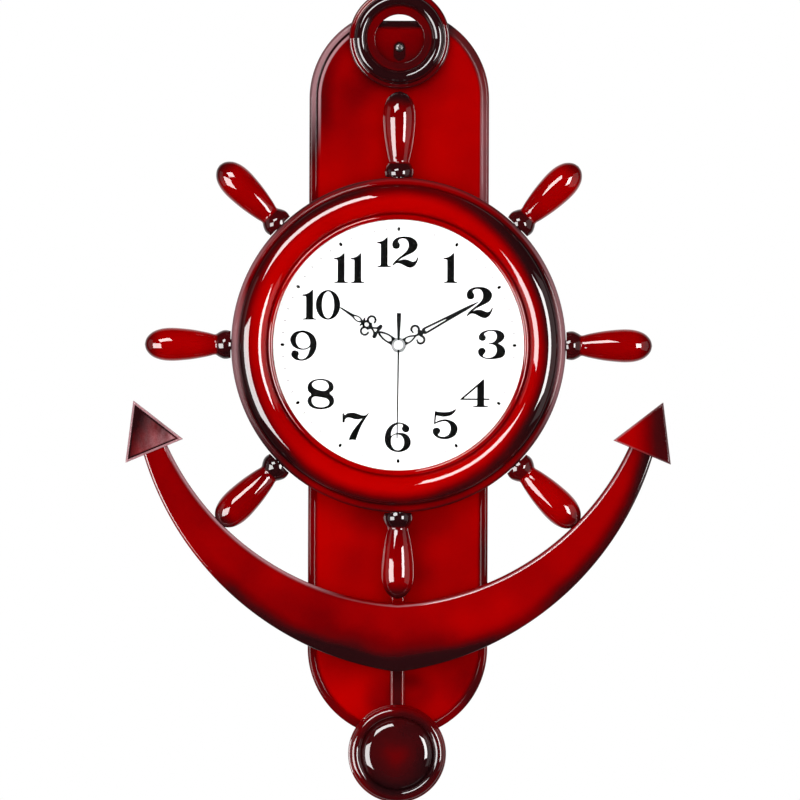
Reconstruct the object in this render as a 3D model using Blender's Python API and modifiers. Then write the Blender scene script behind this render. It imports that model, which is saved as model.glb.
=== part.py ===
"""Ship wheel wall clock with an anchor and a swinging pendulum.

Metres, +Z up, +X to the right, the front of the clock faces -Y and the wall is the plane Y = 0.
The origin is the seat of the keyhole that the clock hangs by, brought straight back to the wall.
A depth is a distance out from the wall, towards whoever looks at the clock: Y = -depth.
"""

import math

import bmesh
import bpy
from mathutils import Vector

MM = 0.001

# Where things stand above or below the wheel's centre
HANG_ABOVE_DIAL = 203.0 * MM
PIVOT_BELOW_DIAL = 40.0 * MM
DIAL_Z = -HANG_ABOVE_DIAL

# Clearances
SEAT = 0.3 * MM
RUNNING = 0.3 * MM
SWING_CLEARANCE = 2.0 * MM
SHELL_WALL = 2.5 * MM

# Anchor: the crescent's edges are two pairs of arcs, and the arrowheads cap its arms
ANCHOR_FRONT = 43.5 * MM
ANCHOR_BELOW_DIAL = 189.8 * MM
ANCHOR_MIDDLE_HEIGHT = 50.1 * MM
INNER_ARC_RADIUS = 199.0 * MM
OUTER_ARC_RADIUS = 225.9 * MM
INNER_CHAMFER = 3.5 * MM
OUTER_CHAMFER = 1.8 * MM
CHAMFER_DROP = 2.3 * MM
ARM_END_WIDTH = 18.4 * MM
ARM_END_SHIFT = 1.0 * MM
ARM_TENON = 9.0 * MM
FLUKE_BASE = 45.7 * MM
FLUKE_LENGTH = 40.0 * MM
FLUKE_LEAN = 22.65
FLUKE_X = 179.0 * MM
FLUKE_BELOW_DIAL = 78.3 * MM
FLUKE_BACK = 24.0 * MM
FLUKE_FRONT = 46.5 * MM
FLUKE_BEVEL = 2.6 * MM
ANCHOR_SCREW_X = 42.0 * MM
ANCHOR_SCREW_Z = -ANCHOR_BELOW_DIAL - 22.2 * MM
ANCHOR_BOSS_RADIUS = 4.5 * MM

# Bob, below the anchor with a stretch of bare rod between them
BOB_RADIUS = 36.0 * MM
BARE_ROD = 24.1 * MM
BOB_BELOW_DIAL = ANCHOR_BELOW_DIAL + ANCHOR_MIDDLE_HEIGHT + BARE_ROD + BOB_RADIUS

# Back board: a tray with round ends, its top cut flat behind the ring
BOARD_HALF_WIDTH = 66.0 * MM
BOARD_ABOVE_HANG = 35.5 * MM
BOARD_TOP_ROUND = 57.3 * MM
BOARD_OVER_BOB = 77.4 * MM
BOARD_FLAT_TOP = HANG_ABOVE_DIAL + BOARD_ABOVE_HANG
BOARD_TOP_ARC = BOARD_FLAT_TOP - BOARD_TOP_ROUND
BOARD_BOTTOM_ARC = BOARD_OVER_BOB - BOB_BELOW_DIAL
BOARD_FACE = 18.0 * MM
BOARD_PANEL = 2.5 * MM
RIM_WIDTH = 4.8 * MM
RIM_PROUD = 1.5 * MM
RIM_FRONT = BOARD_FACE + RIM_PROUD
PAD_RADIUS = 5.0 * MM
POCKET_HALF_WIDTH = 4.6 * MM
POCKET_DROP = 8.5 * MM
POCKET_DEPTH = 1.2 * MM

# Hanger plate with its keyhole, and the screw that holds it
HANGER_SCREW_ABOVE_HANG = 15.9 * MM
HANGER_SCREW_ABOVE_DIAL = HANG_ABOVE_DIAL + HANGER_SCREW_ABOVE_HANG
HANGER_HALF_WIDTH = 13.0 * MM
HANGER_THICKNESS = 1.5 * MM
HANGER_TOP_MARGIN = 8.0 * MM
HANGER_BOTTOM_MARGIN = 9.0 * MM
HANGER_BOSS_RADIUS = 3.6 * MM
KEYHOLE_SLOT_RADIUS = 2.3 * MM
KEYHOLE_ENTRY_RADIUS = 5.2 * MM
KEYHOLE_DROP = 13.0 * MM
RIB_THICKNESS = 2.0 * MM
RIB_HEIGHT = 5.0 * MM

# Everything that sits on the board rests just in front of its rim
FRONT_SEAT = RIM_FRONT + SEAT

# Top ring
RING_RADIUS = 37.0 * MM
RING_ABOVE_DIAL = BOARD_FLAT_TOP - 13.3 * MM
RING_HOLE_RADIUS = 19.7 * MM
RING_BEAD_RADIUS = 28.7 * MM
RING_BEAD_SIZE = 4.3 * MM
RING_BEAD_DEPTH = 29.0 * MM
RING_STEP_DEPTH = 26.6 * MM
RING_SCREW_X = 24.0 * MM
RING_SCREW_DROP = 16.0 * MM

# Wheel rim, the bezel of the clock
BEZEL_RADIUS = 122.8 * MM
BEZEL_WALL = 2.5 * MM
BEZEL_FLANGE_FRONT = 45.9 * MM
RIM_TORUS_RADIUS = 106.6 * MM
RIM_TORUS_SIZE = 10.5 * MM
RIM_TORUS_DEPTH = 46.0 * MM
SIGHT_RADIUS = 91.8 * MM
BEAD_SIZE = 2.1 * MM
RECESS_RADIUS = 96.5 * MM
BEZEL_BOSS_RADIUS = 4.0 * MM
BEZEL_BOSS_CIRCLE = 109.2 * MM
CASE_SCREW_COUNT = 4
CASE_SCREW_TURN = 22.5

# Handles
HANDLE_COUNT = 8
HANDLE_DEPTH = 36.2 * MM
HANDLE_TIP = 186.2 * MM
HANDLE_GRIP_RADIUS = 12.2 * MM
HANDLE_BALL_RADIUS = 10.6 * MM
HANDLE_NECK_RADIUS = 8.0 * MM
PEG_RADIUS = 4.0 * MM
PEG_LENGTH = 6.5 * MM

# Case back, dial and glass
CASE_PLATE = 2.0 * MM
DIAL_RADIUS = 95.5 * MM
DIAL_BACK = 37.8 * MM
DIAL_THICKNESS = 0.8 * MM
DIAL_HOLE_RADIUS = 4.3 * MM
GLASS_THICKNESS = 2.1 * MM
GLASS_BACK = 46.3 * MM
RING_WALL = 2.5 * MM
APERTURE_HALF_WIDTH = 31.0 * MM
APERTURE_TOP = 29.0 * MM
APERTURE_BOTTOM = -80.0 * MM
BOARD_SCREW_X = 46.0 * MM
BOARD_SCREW_Z = 42.0 * MM

# Screws
SCREW_HEAD_RADIUS = 3.3 * MM
SCREW_HEAD_HEIGHT = 1.8 * MM
SCREW_RADIUS = 1.3 * MM
PILOT_RADIUS = 1.8 * MM
SCREW_BITE = 8.0 * MM
RING_SCREW_BITE = 4.0 * MM

# Movement housing
MOVEMENT_HALF_WIDTH = 28.0 * MM
MOVEMENT_TOP = 26.0 * MM
MOVEMENT_BOTTOM = -33.4 * MM
MOVEMENT_FRONT = 36.6 * MM
MOVEMENT_BACK = 20.3 * MM
MOVEMENT_WALL = 1.4 * MM
BATTERY_BAY_TOP = -16.0 * MM
TUBE_RADIUS = 3.9 * MM
TUBE_BORE = 2.8 * MM
TUBE_FRONT = 41.3 * MM
NUT_RADIUS = 6.2 * MM
NUT_THICKNESS = 1.9 * MM
GASKET_RADIUS = 9.0 * MM
GASKET_THICKNESS = 0.6 * MM
COVER_THICKNESS = 1.4 * MM

# Gear train: every wheel is one layer, counted back from the front wall
GEAR_FACE = 0.9 * MM
LAYER_PITCH = 1.5 * MM
ADDENDUM = 0.6
DEDENDUM = 1.2
ARBOR_RADIUS = 0.6 * MM
BUSH_RADIUS = 0.95 * MM
BUSH_DEPTH = 0.9 * MM
SECOND_WHEEL_TEETH = 45
SECOND_PINION_TEETH = 6
THIRD_WHEEL_TEETH = 45
THIRD_PINION_TEETH = 6
CENTRE_WHEEL_TEETH = 48
INTERMEDIATE_WHEEL_TEETH = 32
INTERMEDIATE_PINION_TEETH = 6
ROTOR_PINION_TEETH = 8
CANNON_TEETH = 8
MOTION_WHEEL_TEETH = 24
MOTION_PINION_TEETH = 6
HOUR_WHEEL_TEETH = 24
TRAIN_MODULE = 0.48 * MM
ROTOR_MODULE = 0.45 * MM
MOTION_MODULE = 0.8125 * MM
THIRD_DIRECTION = 20.0
INTERMEDIATE_DIRECTION = 200.0
ROTOR_DIRECTION = 170.0
MOTION_DIRECTION = 125.0
HOUR_PIPE_RADIUS = 2.4 * MM
HOUR_PIPE_BORE = 1.8 * MM
CANNON_RADIUS = 1.5 * MM
CANNON_BORE = 0.9 * MM
MAGNET_RADIUS = 3.0 * MM
MAGNET_LENGTH = 1.6 * MM
STATOR_THICKNESS = 0.8 * MM
STATOR_HOLE_RADIUS = 3.4 * MM
COIL_RADIUS = 3.2 * MM
KNOB_RADIUS = 6.0 * MM
KNOB_BACK = 14.6 * MM

# Battery, size AA
BATTERY_RADIUS = 7.1 * MM
BATTERY_LENGTH = 49.3 * MM
BATTERY_NUB = 1.2 * MM
BATTERY_Z = -24.0 * MM
CONTACT_THICKNESS = 0.4 * MM

# Hands, at the time that the clock stands at
HOUR_HAND_TURN = -57.4
MINUTE_HAND_TURN = 61.5
SECOND_HAND_TURN = 180.7
HAND_THICKNESS = 0.4 * MM
HOUR_HAND_DEPTH = 42.0 * MM
MINUTE_HAND_DEPTH = 43.3 * MM
SECOND_HAND_DEPTH = 44.6 * MM
HOUR_HUB_RADIUS = 5.2 * MM
MINUTE_HUB_RADIUS = 4.9 * MM
SECOND_CAP_RADIUS = 3.95 * MM
HOUR_HAND_LENGTH = 51.1 * MM
MINUTE_HAND_LENGTH = 68.5 * MM
SECOND_HAND_LENGTH = 68.2 * MM
SECOND_TAIL_LENGTH = 23.5 * MM

# Pendulum
SWING = 4.0
ROD_HALF_WIDTH = 5.15 * MM
ROD_BACK = 20.6 * MM
ROD_THICKNESS = 2.4 * MM
ROD_BEVEL = 2.2 * MM
TONGUE_HALF_WIDTH = 2.6 * MM
TONGUE_LENGTH = 12.0 * MM
SLEEVE_TOP = 22.0 * MM
SLEEVE_LENGTH = 16.0 * MM
SLEEVE_HALF_WIDTH = 5.0 * MM
HANGER_ARM_HALF_WIDTH = 4.5 * MM
HANGER_ARM_BACK = 21.0 * MM
HANGER_ARM_THICKNESS = 1.8 * MM
PIVOT_PIN_RADIUS = 1.2 * MM
PIVOT_BORE = 1.5 * MM
MAGNET_DROP = 16.0 * MM
DISC_MAGNET_RADIUS = 3.8 * MM
DISC_MAGNET_LENGTH = 2.0 * MM
DRIVE_BOX_BACK = 25.6 * MM
DRIVE_BOX_HALF_WIDTH = 14.0 * MM
DRIVE_BOX_BOTTOM = -66.0 * MM
DRIVE_COIL_RADIUS = 7.0 * MM
BOB_DOME_RADIUS = 26.6 * MM
BOB_TORUS_SIZE = 4.2 * MM
BOB_PLATE_RADIUS = 33.5 * MM
BOB_PLATE_BACK = 20.4 * MM
BOB_PLATE_FRONT = 23.5 * MM
BOB_DOME_FRONT = 34.0 * MM
BOB_SKIN = 2.0 * MM

# How finely round things are drawn
WHEEL_SEGMENTS = 40
RING_SEGMENTS = 24
BOB_SEGMENTS = 24
HANDLE_SEGMENTS = 10
PIN_SEGMENTS = 8
SCREW_SEGMENTS = 6

# Colours and finishes: colour, roughness, metallic
FINISHES = {
    "red_lacquer": ((0.55, 0.01, 0.01), 0.12, 0.0),
    "dark_lacquer": ((0.09, 0.01, 0.012), 0.12, 0.0),
    "black_plastic": ((0.02, 0.02, 0.02), 0.45, 0.0),
    "grey_plastic": ((0.35, 0.35, 0.36), 0.5, 0.0),
    "white_plastic": ((0.8, 0.8, 0.78), 0.45, 0.0),
    "white_dial": ((0.9, 0.9, 0.9), 0.5, 0.0),
    "clear_glass": ((0.9, 0.95, 0.95), 0.02, 0.0),
    "black_hand": ((0.01, 0.01, 0.01), 0.35, 0.0),
    "brass": ((0.72, 0.53, 0.22), 0.3, 1.0),
    "steel": ((0.6, 0.6, 0.62), 0.3, 1.0),
    "copper_winding": ((0.6, 0.25, 0.1), 0.4, 1.0),
    "circuit_green": ((0.05, 0.25, 0.08), 0.5, 0.0),
    "rubber": ((0.03, 0.03, 0.03), 0.8, 0.0),
    "battery_sleeve": ((0.12, 0.12, 0.14), 0.4, 0.2),
}


# Scene, collections and materials

def clear_scene():
    for old in list(bpy.data.objects):
        bpy.data.objects.remove(old, do_unlink=True)


def new_collection(name):
    made = bpy.data.collections.new(name)
    bpy.context.scene.collection.children.link(made)
    return made


def material(name):
    found = bpy.data.materials.get(name)
    if found:
        return found
    colour, roughness, metallic = FINISHES[name]
    made = bpy.data.materials.new(name)
    made.use_nodes = True
    shader = made.node_tree.nodes["Principled BSDF"]
    shader.inputs["Base Color"].default_value = (*colour, 1.0)
    shader.inputs["Roughness"].default_value = roughness
    shader.inputs["Metallic"].default_value = metallic
    return made


clear_scene()
CLOCK = new_collection("ship_wheel_clock")
CUTTERS = new_collection("cutters")


def keep(obj, finish):
    """Put a finished piece in the clock's collection and give it its material."""
    CLOCK.objects.link(obj)
    obj.data.materials.clear()
    obj.data.materials.append(material(finish))
    return obj


def as_cutter(obj):
    """Put a helper shape among the cutters, where it is never drawn."""
    CUTTERS.objects.link(obj)
    obj.hide_render = True
    obj.display_type = "WIRE"
    return obj


# Outlines in the plane of the clock's face, as lists of (x, z)

def arc(x, z, radius, start, end, count):
    """Points along an arc, from one angle to the other in degrees."""
    points = []
    for i in range(count + 1):
        angle = math.radians(start + (end - start) * i / count)
        points.append((x + radius * math.cos(angle), z + radius * math.sin(angle)))
    return points


def circle(radius, count, x=0.0, z=0.0):
    return arc(x, z, radius, 0.0, 360.0 * (count - 1) / count, count - 1)


def rectangle(left, right, bottom, top):
    return [(left, bottom), (right, bottom), (right, top), (left, top)]


def mirrored(half):
    """Close a half outline that runs up the right side."""
    left = []
    for x, z in reversed(half):
        if abs(x) > 1e-7:
            left.append((-x, z))
    return list(half) + left


def gear_outline(teeth, module, tooth_at):
    """Pointed teeth, with one tooth at the angle given in degrees."""
    points = []
    for i in range(teeth):
        tip = math.radians(tooth_at + 360.0 * i / teeth)
        root = tip + math.pi / teeth
        tip_radius = (teeth / 2 + ADDENDUM) * module
        root_radius = (teeth / 2 - DEDENDUM) * module
        points.append((tip_radius * math.cos(tip), tip_radius * math.sin(tip)))
        points.append((root_radius * math.cos(root), root_radius * math.sin(root)))
    return points


def pitch_radius(teeth, module):
    return teeth * module / 2


def polar(distance, direction):
    angle = math.radians(direction)
    return distance * math.cos(angle), distance * math.sin(angle)


# Solids

def mesh_object(name, bm, x=0.0, y=0.0, z=0.0, turned_to_face=False):
    bmesh.ops.recalc_face_normals(bm, faces=bm.faces)
    mesh = bpy.data.meshes.new(name)
    bm.to_mesh(mesh)
    bm.free()
    obj = bpy.data.objects.new(name, mesh)
    obj.location = (x, y, z)
    if turned_to_face:
        obj.rotation_euler = (math.pi / 2, 0.0, 0.0)
    return obj


def outline_solid(name, loops, back, front, x=0.0, z=DIAL_Z):
    """A flat outline with its holes, as thick as from one depth to the other."""
    curve = bpy.data.curves.new(name, "CURVE")
    curve.dimensions = "2D"
    curve.fill_mode = "BOTH"
    curve.extrude = (front - back) / 2
    for loop in loops:
        spline = curve.splines.new("POLY")
        spline.points.add(len(loop) - 1)
        for point, (px, pz) in zip(spline.points, loop):
            point.co = (px, pz, 0.0, 1.0)
        spline.use_cyclic_u = True
    guide = bpy.data.objects.new(name + "_outline", curve)
    guide.location = (x, -(front + back) / 2, z)
    guide.rotation_euler = (math.pi / 2, 0.0, 0.0)
    bpy.context.scene.collection.objects.link(guide)
    bpy.context.view_layer.update()
    evaluated = guide.evaluated_get(bpy.context.evaluated_depsgraph_get())
    mesh = bpy.data.meshes.new_from_object(evaluated)
    bm = bmesh.new()
    bm.from_mesh(mesh)
    bmesh.ops.remove_doubles(bm, verts=bm.verts, dist=1e-7)
    bmesh.ops.recalc_face_normals(bm, faces=bm.faces)
    bm.to_mesh(mesh)
    bm.free()
    mesh.name = name
    obj = bpy.data.objects.new(name, mesh)
    obj.matrix_world = guide.matrix_world
    bpy.data.objects.remove(guide, do_unlink=True)
    bpy.data.curves.remove(curve)
    return obj


def turned(name, profile, segments, closed=False, x=0.0, z=DIAL_Z):
    """A profile of (radius, depth) turned about a line square to the wall."""
    bm = bmesh.new()
    points = [bm.verts.new((radius, 0.0, depth)) for radius, depth in profile]
    for first, second in zip(points, points[1:]):
        bm.edges.new((first, second))
    if closed:
        bm.edges.new((points[-1], points[0]))
    mesh = bpy.data.meshes.new(name)
    bm.to_mesh(mesh)
    bm.free()
    obj = bpy.data.objects.new(name, mesh)
    obj.location = (x, 0.0, z)
    obj.rotation_euler = (math.pi / 2, 0.0, 0.0)
    add_screw(obj, segments)
    return obj


def add_screw(obj, segments):
    screw = obj.modifiers.new("turned", "SCREW")
    screw.axis = "Z"
    screw.angle = 2 * math.pi
    screw.steps = segments
    screw.render_steps = segments
    screw.use_merge_vertices = True
    screw.merge_threshold = 1e-6
    screw.use_smooth_shade = True


def cylinder(name, radius, back, front, x=0.0, z=DIAL_Z, segments=PIN_SEGMENTS):
    bm = bmesh.new()
    bmesh.ops.create_cone(bm, cap_ends=True, segments=segments, radius1=radius, radius2=radius,
                          depth=front - back)
    return mesh_object(name, bm, x, -(front + back) / 2, z, turned_to_face=True)


def block(name, left, right, back, front, bottom, top, z=DIAL_Z):
    """A box between two x values, two depths and two heights, the heights counted from z."""
    bm = bmesh.new()
    bmesh.ops.create_cube(bm, size=1.0)
    bmesh.ops.scale(bm, verts=bm.verts, vec=Vector((right - left, front - back, top - bottom)))
    centre = Vector(((left + right) / 2, -(front + back) / 2, (bottom + top) / 2))
    bmesh.ops.translate(bm, verts=bm.verts, vec=centre)
    return mesh_object(name, bm, 0.0, 0.0, z)


def loft(name, sections, x=0.0, z=DIAL_Z):
    """A skin through outlines of equal count, each with its depth, closed by its first and last."""
    bm = bmesh.new()
    rings = []
    for outline, depth in sections:
        rings.append([bm.verts.new((px, -depth, pz)) for px, pz in outline])
    for lower, upper in zip(rings, rings[1:]):
        for i in range(len(lower)):
            j = (i + 1) % len(lower)
            bm.faces.new((lower[i], lower[j], upper[j], upper[i]))
    bm.faces.new(rings[0])
    bm.faces.new(rings[-1])
    return mesh_object(name, bm, x, 0.0, z)


def combine(obj, tool, operation):
    as_cutter(tool)
    modifier = obj.modifiers.new(operation.lower() + "_" + tool.name, "BOOLEAN")
    modifier.operation = operation
    modifier.solver = "EXACT"
    modifier.object = tool
    return obj


def cut(obj, tool):
    return combine(obj, tool, "DIFFERENCE")


def join(obj, tool):
    return combine(obj, tool, "UNION")


def smooth(obj, angle=35.0):
    obj.data.shade_smooth()
    obj.data.set_sharp_from_angle(angle=math.radians(angle))
    return obj


def empty(name, x, depth, z):
    made = bpy.data.objects.new(name, None)
    made.location = (x, -depth, z)
    CLOCK.objects.link(made)
    return made


def carry(parent, obj):
    """Hang a piece from an empty on its joint's axis, where it already is."""
    obj.parent = parent
    obj.location = Vector(obj.location) - Vector(parent.location)


# Back board

def board_outline(inset):
    radius = BOARD_HALF_WIDTH - inset
    flat = BOARD_FLAT_TOP - inset
    corner = math.degrees(math.asin((flat - BOARD_TOP_ARC) / radius))
    half = arc(0.0, BOARD_BOTTOM_ARC, radius, -90.0, 0.0, 9)
    half += arc(0.0, BOARD_TOP_ARC, radius, 0.0, corner, 7)
    return mirrored(half)


def pad_places():
    """Where screws come through the board, and how far each one goes into what it holds."""
    return (
        ("ring_screw_1", -RING_SCREW_X, RING_ABOVE_DIAL - RING_SCREW_DROP, RING_SCREW_BITE),
        ("ring_screw_2", RING_SCREW_X, RING_ABOVE_DIAL - RING_SCREW_DROP, RING_SCREW_BITE),
        ("board_screw_1", -BOARD_SCREW_X, BOARD_SCREW_Z, SCREW_BITE),
        ("board_screw_2", BOARD_SCREW_X, BOARD_SCREW_Z, SCREW_BITE),
        ("anchor_screw_1", -ANCHOR_SCREW_X, ANCHOR_SCREW_Z, SCREW_BITE),
        ("anchor_screw_2", ANCHOR_SCREW_X, ANCHOR_SCREW_Z, SCREW_BITE),
    )


def make_back_board():
    panel_back = BOARD_FACE - BOARD_PANEL
    half_rim = RIM_WIDTH / 2
    sections = (
        (board_outline(SHELL_WALL), panel_back),
        (board_outline(SHELL_WALL), 0.0),
        (board_outline(0.0), 0.0),
        (board_outline(0.0), BOARD_FACE - RIM_PROUD / 3),
        (board_outline(half_rim / 3), RIM_FRONT - RIM_PROUD / 4),
        (board_outline(half_rim), RIM_FRONT),
        (board_outline(RIM_WIDTH - half_rim / 3), RIM_FRONT - RIM_PROUD / 4),
        (board_outline(RIM_WIDTH), BOARD_FACE),
    )
    board = loft("back_board", sections)
    for name, x, z, _ in pad_places():
        join(board, cylinder("pad_" + name, PAD_RADIUS, panel_back + BOARD_PANEL / 2, RIM_FRONT, x, DIAL_Z + z))
    for side in (-1, 1):
        edges = sorted((side * (HANGER_HALF_WIDTH - RIB_THICKNESS), side * HANGER_HALF_WIDTH))
        join(board, block("rib_%d" % side, edges[0], edges[1], panel_back - RIB_HEIGHT,
                          panel_back + BOARD_PANEL / 2, hanger_bottom(), hanger_top()))
    join(board, cylinder("hanger_boss", HANGER_BOSS_RADIUS, panel_back - RIB_HEIGHT, panel_back
                         + BOARD_PANEL / 2, 0.0, DIAL_Z + HANGER_SCREW_ABOVE_DIAL))
    for name, x, z, _ in pad_places():
        cut(board, cylinder("hole_" + name, PILOT_RADIUS, 0.0, RIM_FRONT + SEAT, x, DIAL_Z + z, SCREW_SEGMENTS))
    pocket = arc(0.0, HANGER_SCREW_ABOVE_DIAL, POCKET_HALF_WIDTH, 0.0, 180.0, 6)
    pocket += arc(0.0, HANGER_SCREW_ABOVE_DIAL - POCKET_DROP, POCKET_HALF_WIDTH, 180.0, 360.0, 6)
    cut(board, outline_solid("screw_pocket", [pocket], BOARD_FACE - POCKET_DEPTH, RIM_FRONT))
    cut(board, cylinder("hole_hanger_screw", PILOT_RADIUS, 0.0, RIM_FRONT, 0.0,
                        DIAL_Z + HANGER_SCREW_ABOVE_DIAL, SCREW_SEGMENTS))
    cut(board, block("board_aperture", -APERTURE_HALF_WIDTH, APERTURE_HALF_WIDTH, 0.0, RIM_FRONT,
                     APERTURE_BOTTOM, APERTURE_TOP))
    keep(board, "red_lacquer")


def hanger_top():
    return HANGER_SCREW_ABOVE_DIAL + HANGER_TOP_MARGIN


def hanger_bottom():
    return HANG_ABOVE_DIAL - KEYHOLE_DROP - HANGER_BOTTOM_MARGIN


def hanger_front():
    """The plate stands off the board on two ribs, which leave room for a nail's head."""
    return BOARD_FACE - BOARD_PANEL - RIB_HEIGHT - SEAT


def make_hanger_plate():
    """The steel plate with the keyhole that the clock hangs by."""
    front = hanger_front()
    back = front - HANGER_THICKNESS
    top = hanger_top()
    bottom = hanger_bottom()
    opening = math.degrees(math.asin(KEYHOLE_SLOT_RADIUS / KEYHOLE_ENTRY_RADIUS))
    keyhole = arc(0.0, HANG_ABOVE_DIAL, KEYHOLE_SLOT_RADIUS, 0.0, 180.0, 6)
    keyhole += arc(0.0, HANG_ABOVE_DIAL - KEYHOLE_DROP, KEYHOLE_ENTRY_RADIUS, 90.0 + opening,
                   450.0 - opening, 12)
    plate = outline_solid("hanger_plate", [rectangle(-HANGER_HALF_WIDTH, HANGER_HALF_WIDTH, bottom, top),
                                           keyhole,
                                           circle(PILOT_RADIUS, SCREW_SEGMENTS, 0.0, HANGER_SCREW_ABOVE_DIAL)],
                          back, front)
    keep(plate, "steel")


# Screws: a pan head and a shank, the head towards the wall or towards the front

def make_screw(name, x, z, seat, length, head_in_front=False):
    """A screw whose head bears at the depth given, with a gap, and whose shank goes through it."""
    sign = 1 if head_in_front else -1
    bearing = seat + sign * SEAT
    top = bearing + sign * SCREW_HEAD_HEIGHT
    end = seat - sign * length
    profile = [
        (0.0, top),
        (SCREW_HEAD_RADIUS * 0.7, top),
        (SCREW_HEAD_RADIUS, bearing),
        (SCREW_RADIUS, bearing),
        (SCREW_RADIUS, end + sign * SCREW_RADIUS),
        (0.0, end),
    ]
    if not head_in_front:
        profile.reverse()
    keep(turned(name, profile, SCREW_SEGMENTS, x=x, z=DIAL_Z + z), "steel")


def make_screws():
    panel_back = BOARD_FACE - BOARD_PANEL
    for name, x, z, bite in pad_places():
        make_screw(name, x, z, panel_back, FRONT_SEAT - panel_back + bite)
    pocket_floor = BOARD_FACE - POCKET_DEPTH
    make_screw("hanger_screw", 0.0, HANGER_SCREW_ABOVE_DIAL, pocket_floor,
               pocket_floor - hanger_front() + HANGER_THICKNESS + SCREW_RADIUS, head_in_front=True)
    for i in range(CASE_SCREW_COUNT):
        x, z = case_screw_place(i)
        make_screw("case_screw_%d" % (i + 1), x, z, FRONT_SEAT + case_screw_sink(), CASE_PLATE + SCREW_BITE)


def case_screw_place(i):
    return polar(BEZEL_BOSS_CIRCLE, CASE_SCREW_TURN + 360.0 * i / CASE_SCREW_COUNT)


def case_screw_sink():
    """The case screws' heads sit in dimples, so that the plate lies flat on the board's rim."""
    return SCREW_HEAD_HEIGHT + SEAT


# Top ring

def make_top_ring():
    bead = arc(RING_BEAD_RADIUS, RING_BEAD_DEPTH, RING_BEAD_SIZE, 90.0, -10.0, 4)
    inner_bead = arc(RING_BEAD_RADIUS, RING_BEAD_DEPTH, RING_BEAD_SIZE, 190.0, 110.0, 3)
    step = RING_STEP_DEPTH
    profile = bead + [
        (RING_BEAD_RADIUS + RING_BEAD_SIZE + 0.8 * MM, step),
        (RING_RADIUS - 1.6 * MM, step),
        (RING_RADIUS, step - 1.8 * MM),
        (RING_RADIUS, FRONT_SEAT),
        (RING_HOLE_RADIUS, FRONT_SEAT),
        (RING_HOLE_RADIUS, step - 1.6 * MM),
        (RING_HOLE_RADIUS + 1.2 * MM, step),
    ] + inner_bead
    ring = turned("top_ring", profile, RING_SEGMENTS, closed=True, z=DIAL_Z + RING_ABOVE_DIAL)
    for side in (-1, 1):
        cut(ring, cylinder("ring_pilot_%d" % side, PILOT_RADIUS, 0.0, FRONT_SEAT + RING_SCREW_BITE + SEAT,
                           side * RING_SCREW_X, DIAL_Z + RING_ABOVE_DIAL - RING_SCREW_DROP, SCREW_SEGMENTS))
    keep(ring, "dark_lacquer")


# Wheel rim and handles

def pendulum_sweep():
    """The room that the rod takes as it swings, behind the wheel and the anchor."""
    pivot_z = -PIVOT_BELOW_DIAL
    slope = math.tan(math.radians(SWING))

    def half_width(z):
        return ROD_HALF_WIDTH + SWING_CLEARANCE + (pivot_z - z) * slope

    low = -BOB_BELOW_DIAL
    high = pivot_z - SLEEVE_TOP
    outline = [(-half_width(low), low), (half_width(low), low), (half_width(high), high),
               (-half_width(high), high)]
    return outline_solid("pendulum_sweep", [outline], BOARD_FACE - BOARD_PANEL, ROD_BACK + ROD_THICKNESS + SEAT * 3)


def handle_profile(grow=0.0):
    """Radius against distance from the wheel's centre, from the tip to the peg's end."""
    grip = HANDLE_GRIP_RADIUS
    ball = HANDLE_BALL_RADIUS
    neck = HANDLE_NECK_RADIUS
    base = BEZEL_RADIUS + SEAT
    length = HANDLE_TIP - base
    shape = (
        (1.0, 0.0),
        (0.97, grip * 0.46),
        (0.91, grip * 0.76),
        (0.8, grip * 0.96),
        (0.67, grip),
        (0.43, grip * 0.9),
        (0.215, neck * 1.04),
        (0.175, neck),
        (0.115, ball * 0.93),
        (0.05, ball),
        (0.0, ball * 0.9),
    )
    points = []
    for share, radius in shape:
        grown = radius + grow if radius > 0 else 0.0
        points.append((grown, base + length * share + (grow if share > 0.8 else 0.0)))
    points.append((PEG_RADIUS + grow, base))
    points.append((PEG_RADIUS + grow, base - SEAT - BEZEL_WALL - PEG_LENGTH / 2))
    points.append((0.0, base - SEAT - BEZEL_WALL - PEG_LENGTH / 2))
    return points


def handle_solid(name, index, grow=0.0):
    bm = bmesh.new()
    points = [bm.verts.new((radius, 0.0, distance)) for radius, distance in handle_profile(grow)]
    for first, second in zip(points, points[1:]):
        bm.edges.new((first, second))
    mesh = bpy.data.meshes.new(name)
    bm.to_mesh(mesh)
    bm.free()
    obj = bpy.data.objects.new(name, mesh)
    obj.location = (0.0, -HANDLE_DEPTH, DIAL_Z)
    obj.rotation_euler = (0.0, 2 * math.pi * index / HANDLE_COUNT, 0.0)
    add_screw(obj, HANDLE_SEGMENTS)
    return obj


def make_handles():
    for i in range(HANDLE_COUNT):
        keep(handle_solid("handle_%d" % (i + 1), i), "red_lacquer")


def peg_socket(i):
    """A hole through the rim's outer wall for one handle's peg."""
    bm = bmesh.new()
    bmesh.ops.create_cone(bm, cap_ends=True, segments=HANDLE_SEGMENTS, radius1=PEG_RADIUS + SEAT,
                          radius2=PEG_RADIUS + SEAT, depth=PEG_LENGTH + BEZEL_WALL)
    bmesh.ops.translate(bm, verts=bm.verts, vec=Vector((0.0, 0.0, BEZEL_RADIUS)))
    obj = mesh_object("peg_socket_%d" % (i + 1), bm, 0.0, -HANDLE_DEPTH, DIAL_Z)
    obj.rotation_euler = (0.0, 2 * math.pi * i / HANDLE_COUNT, 0.0)
    return obj


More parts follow.
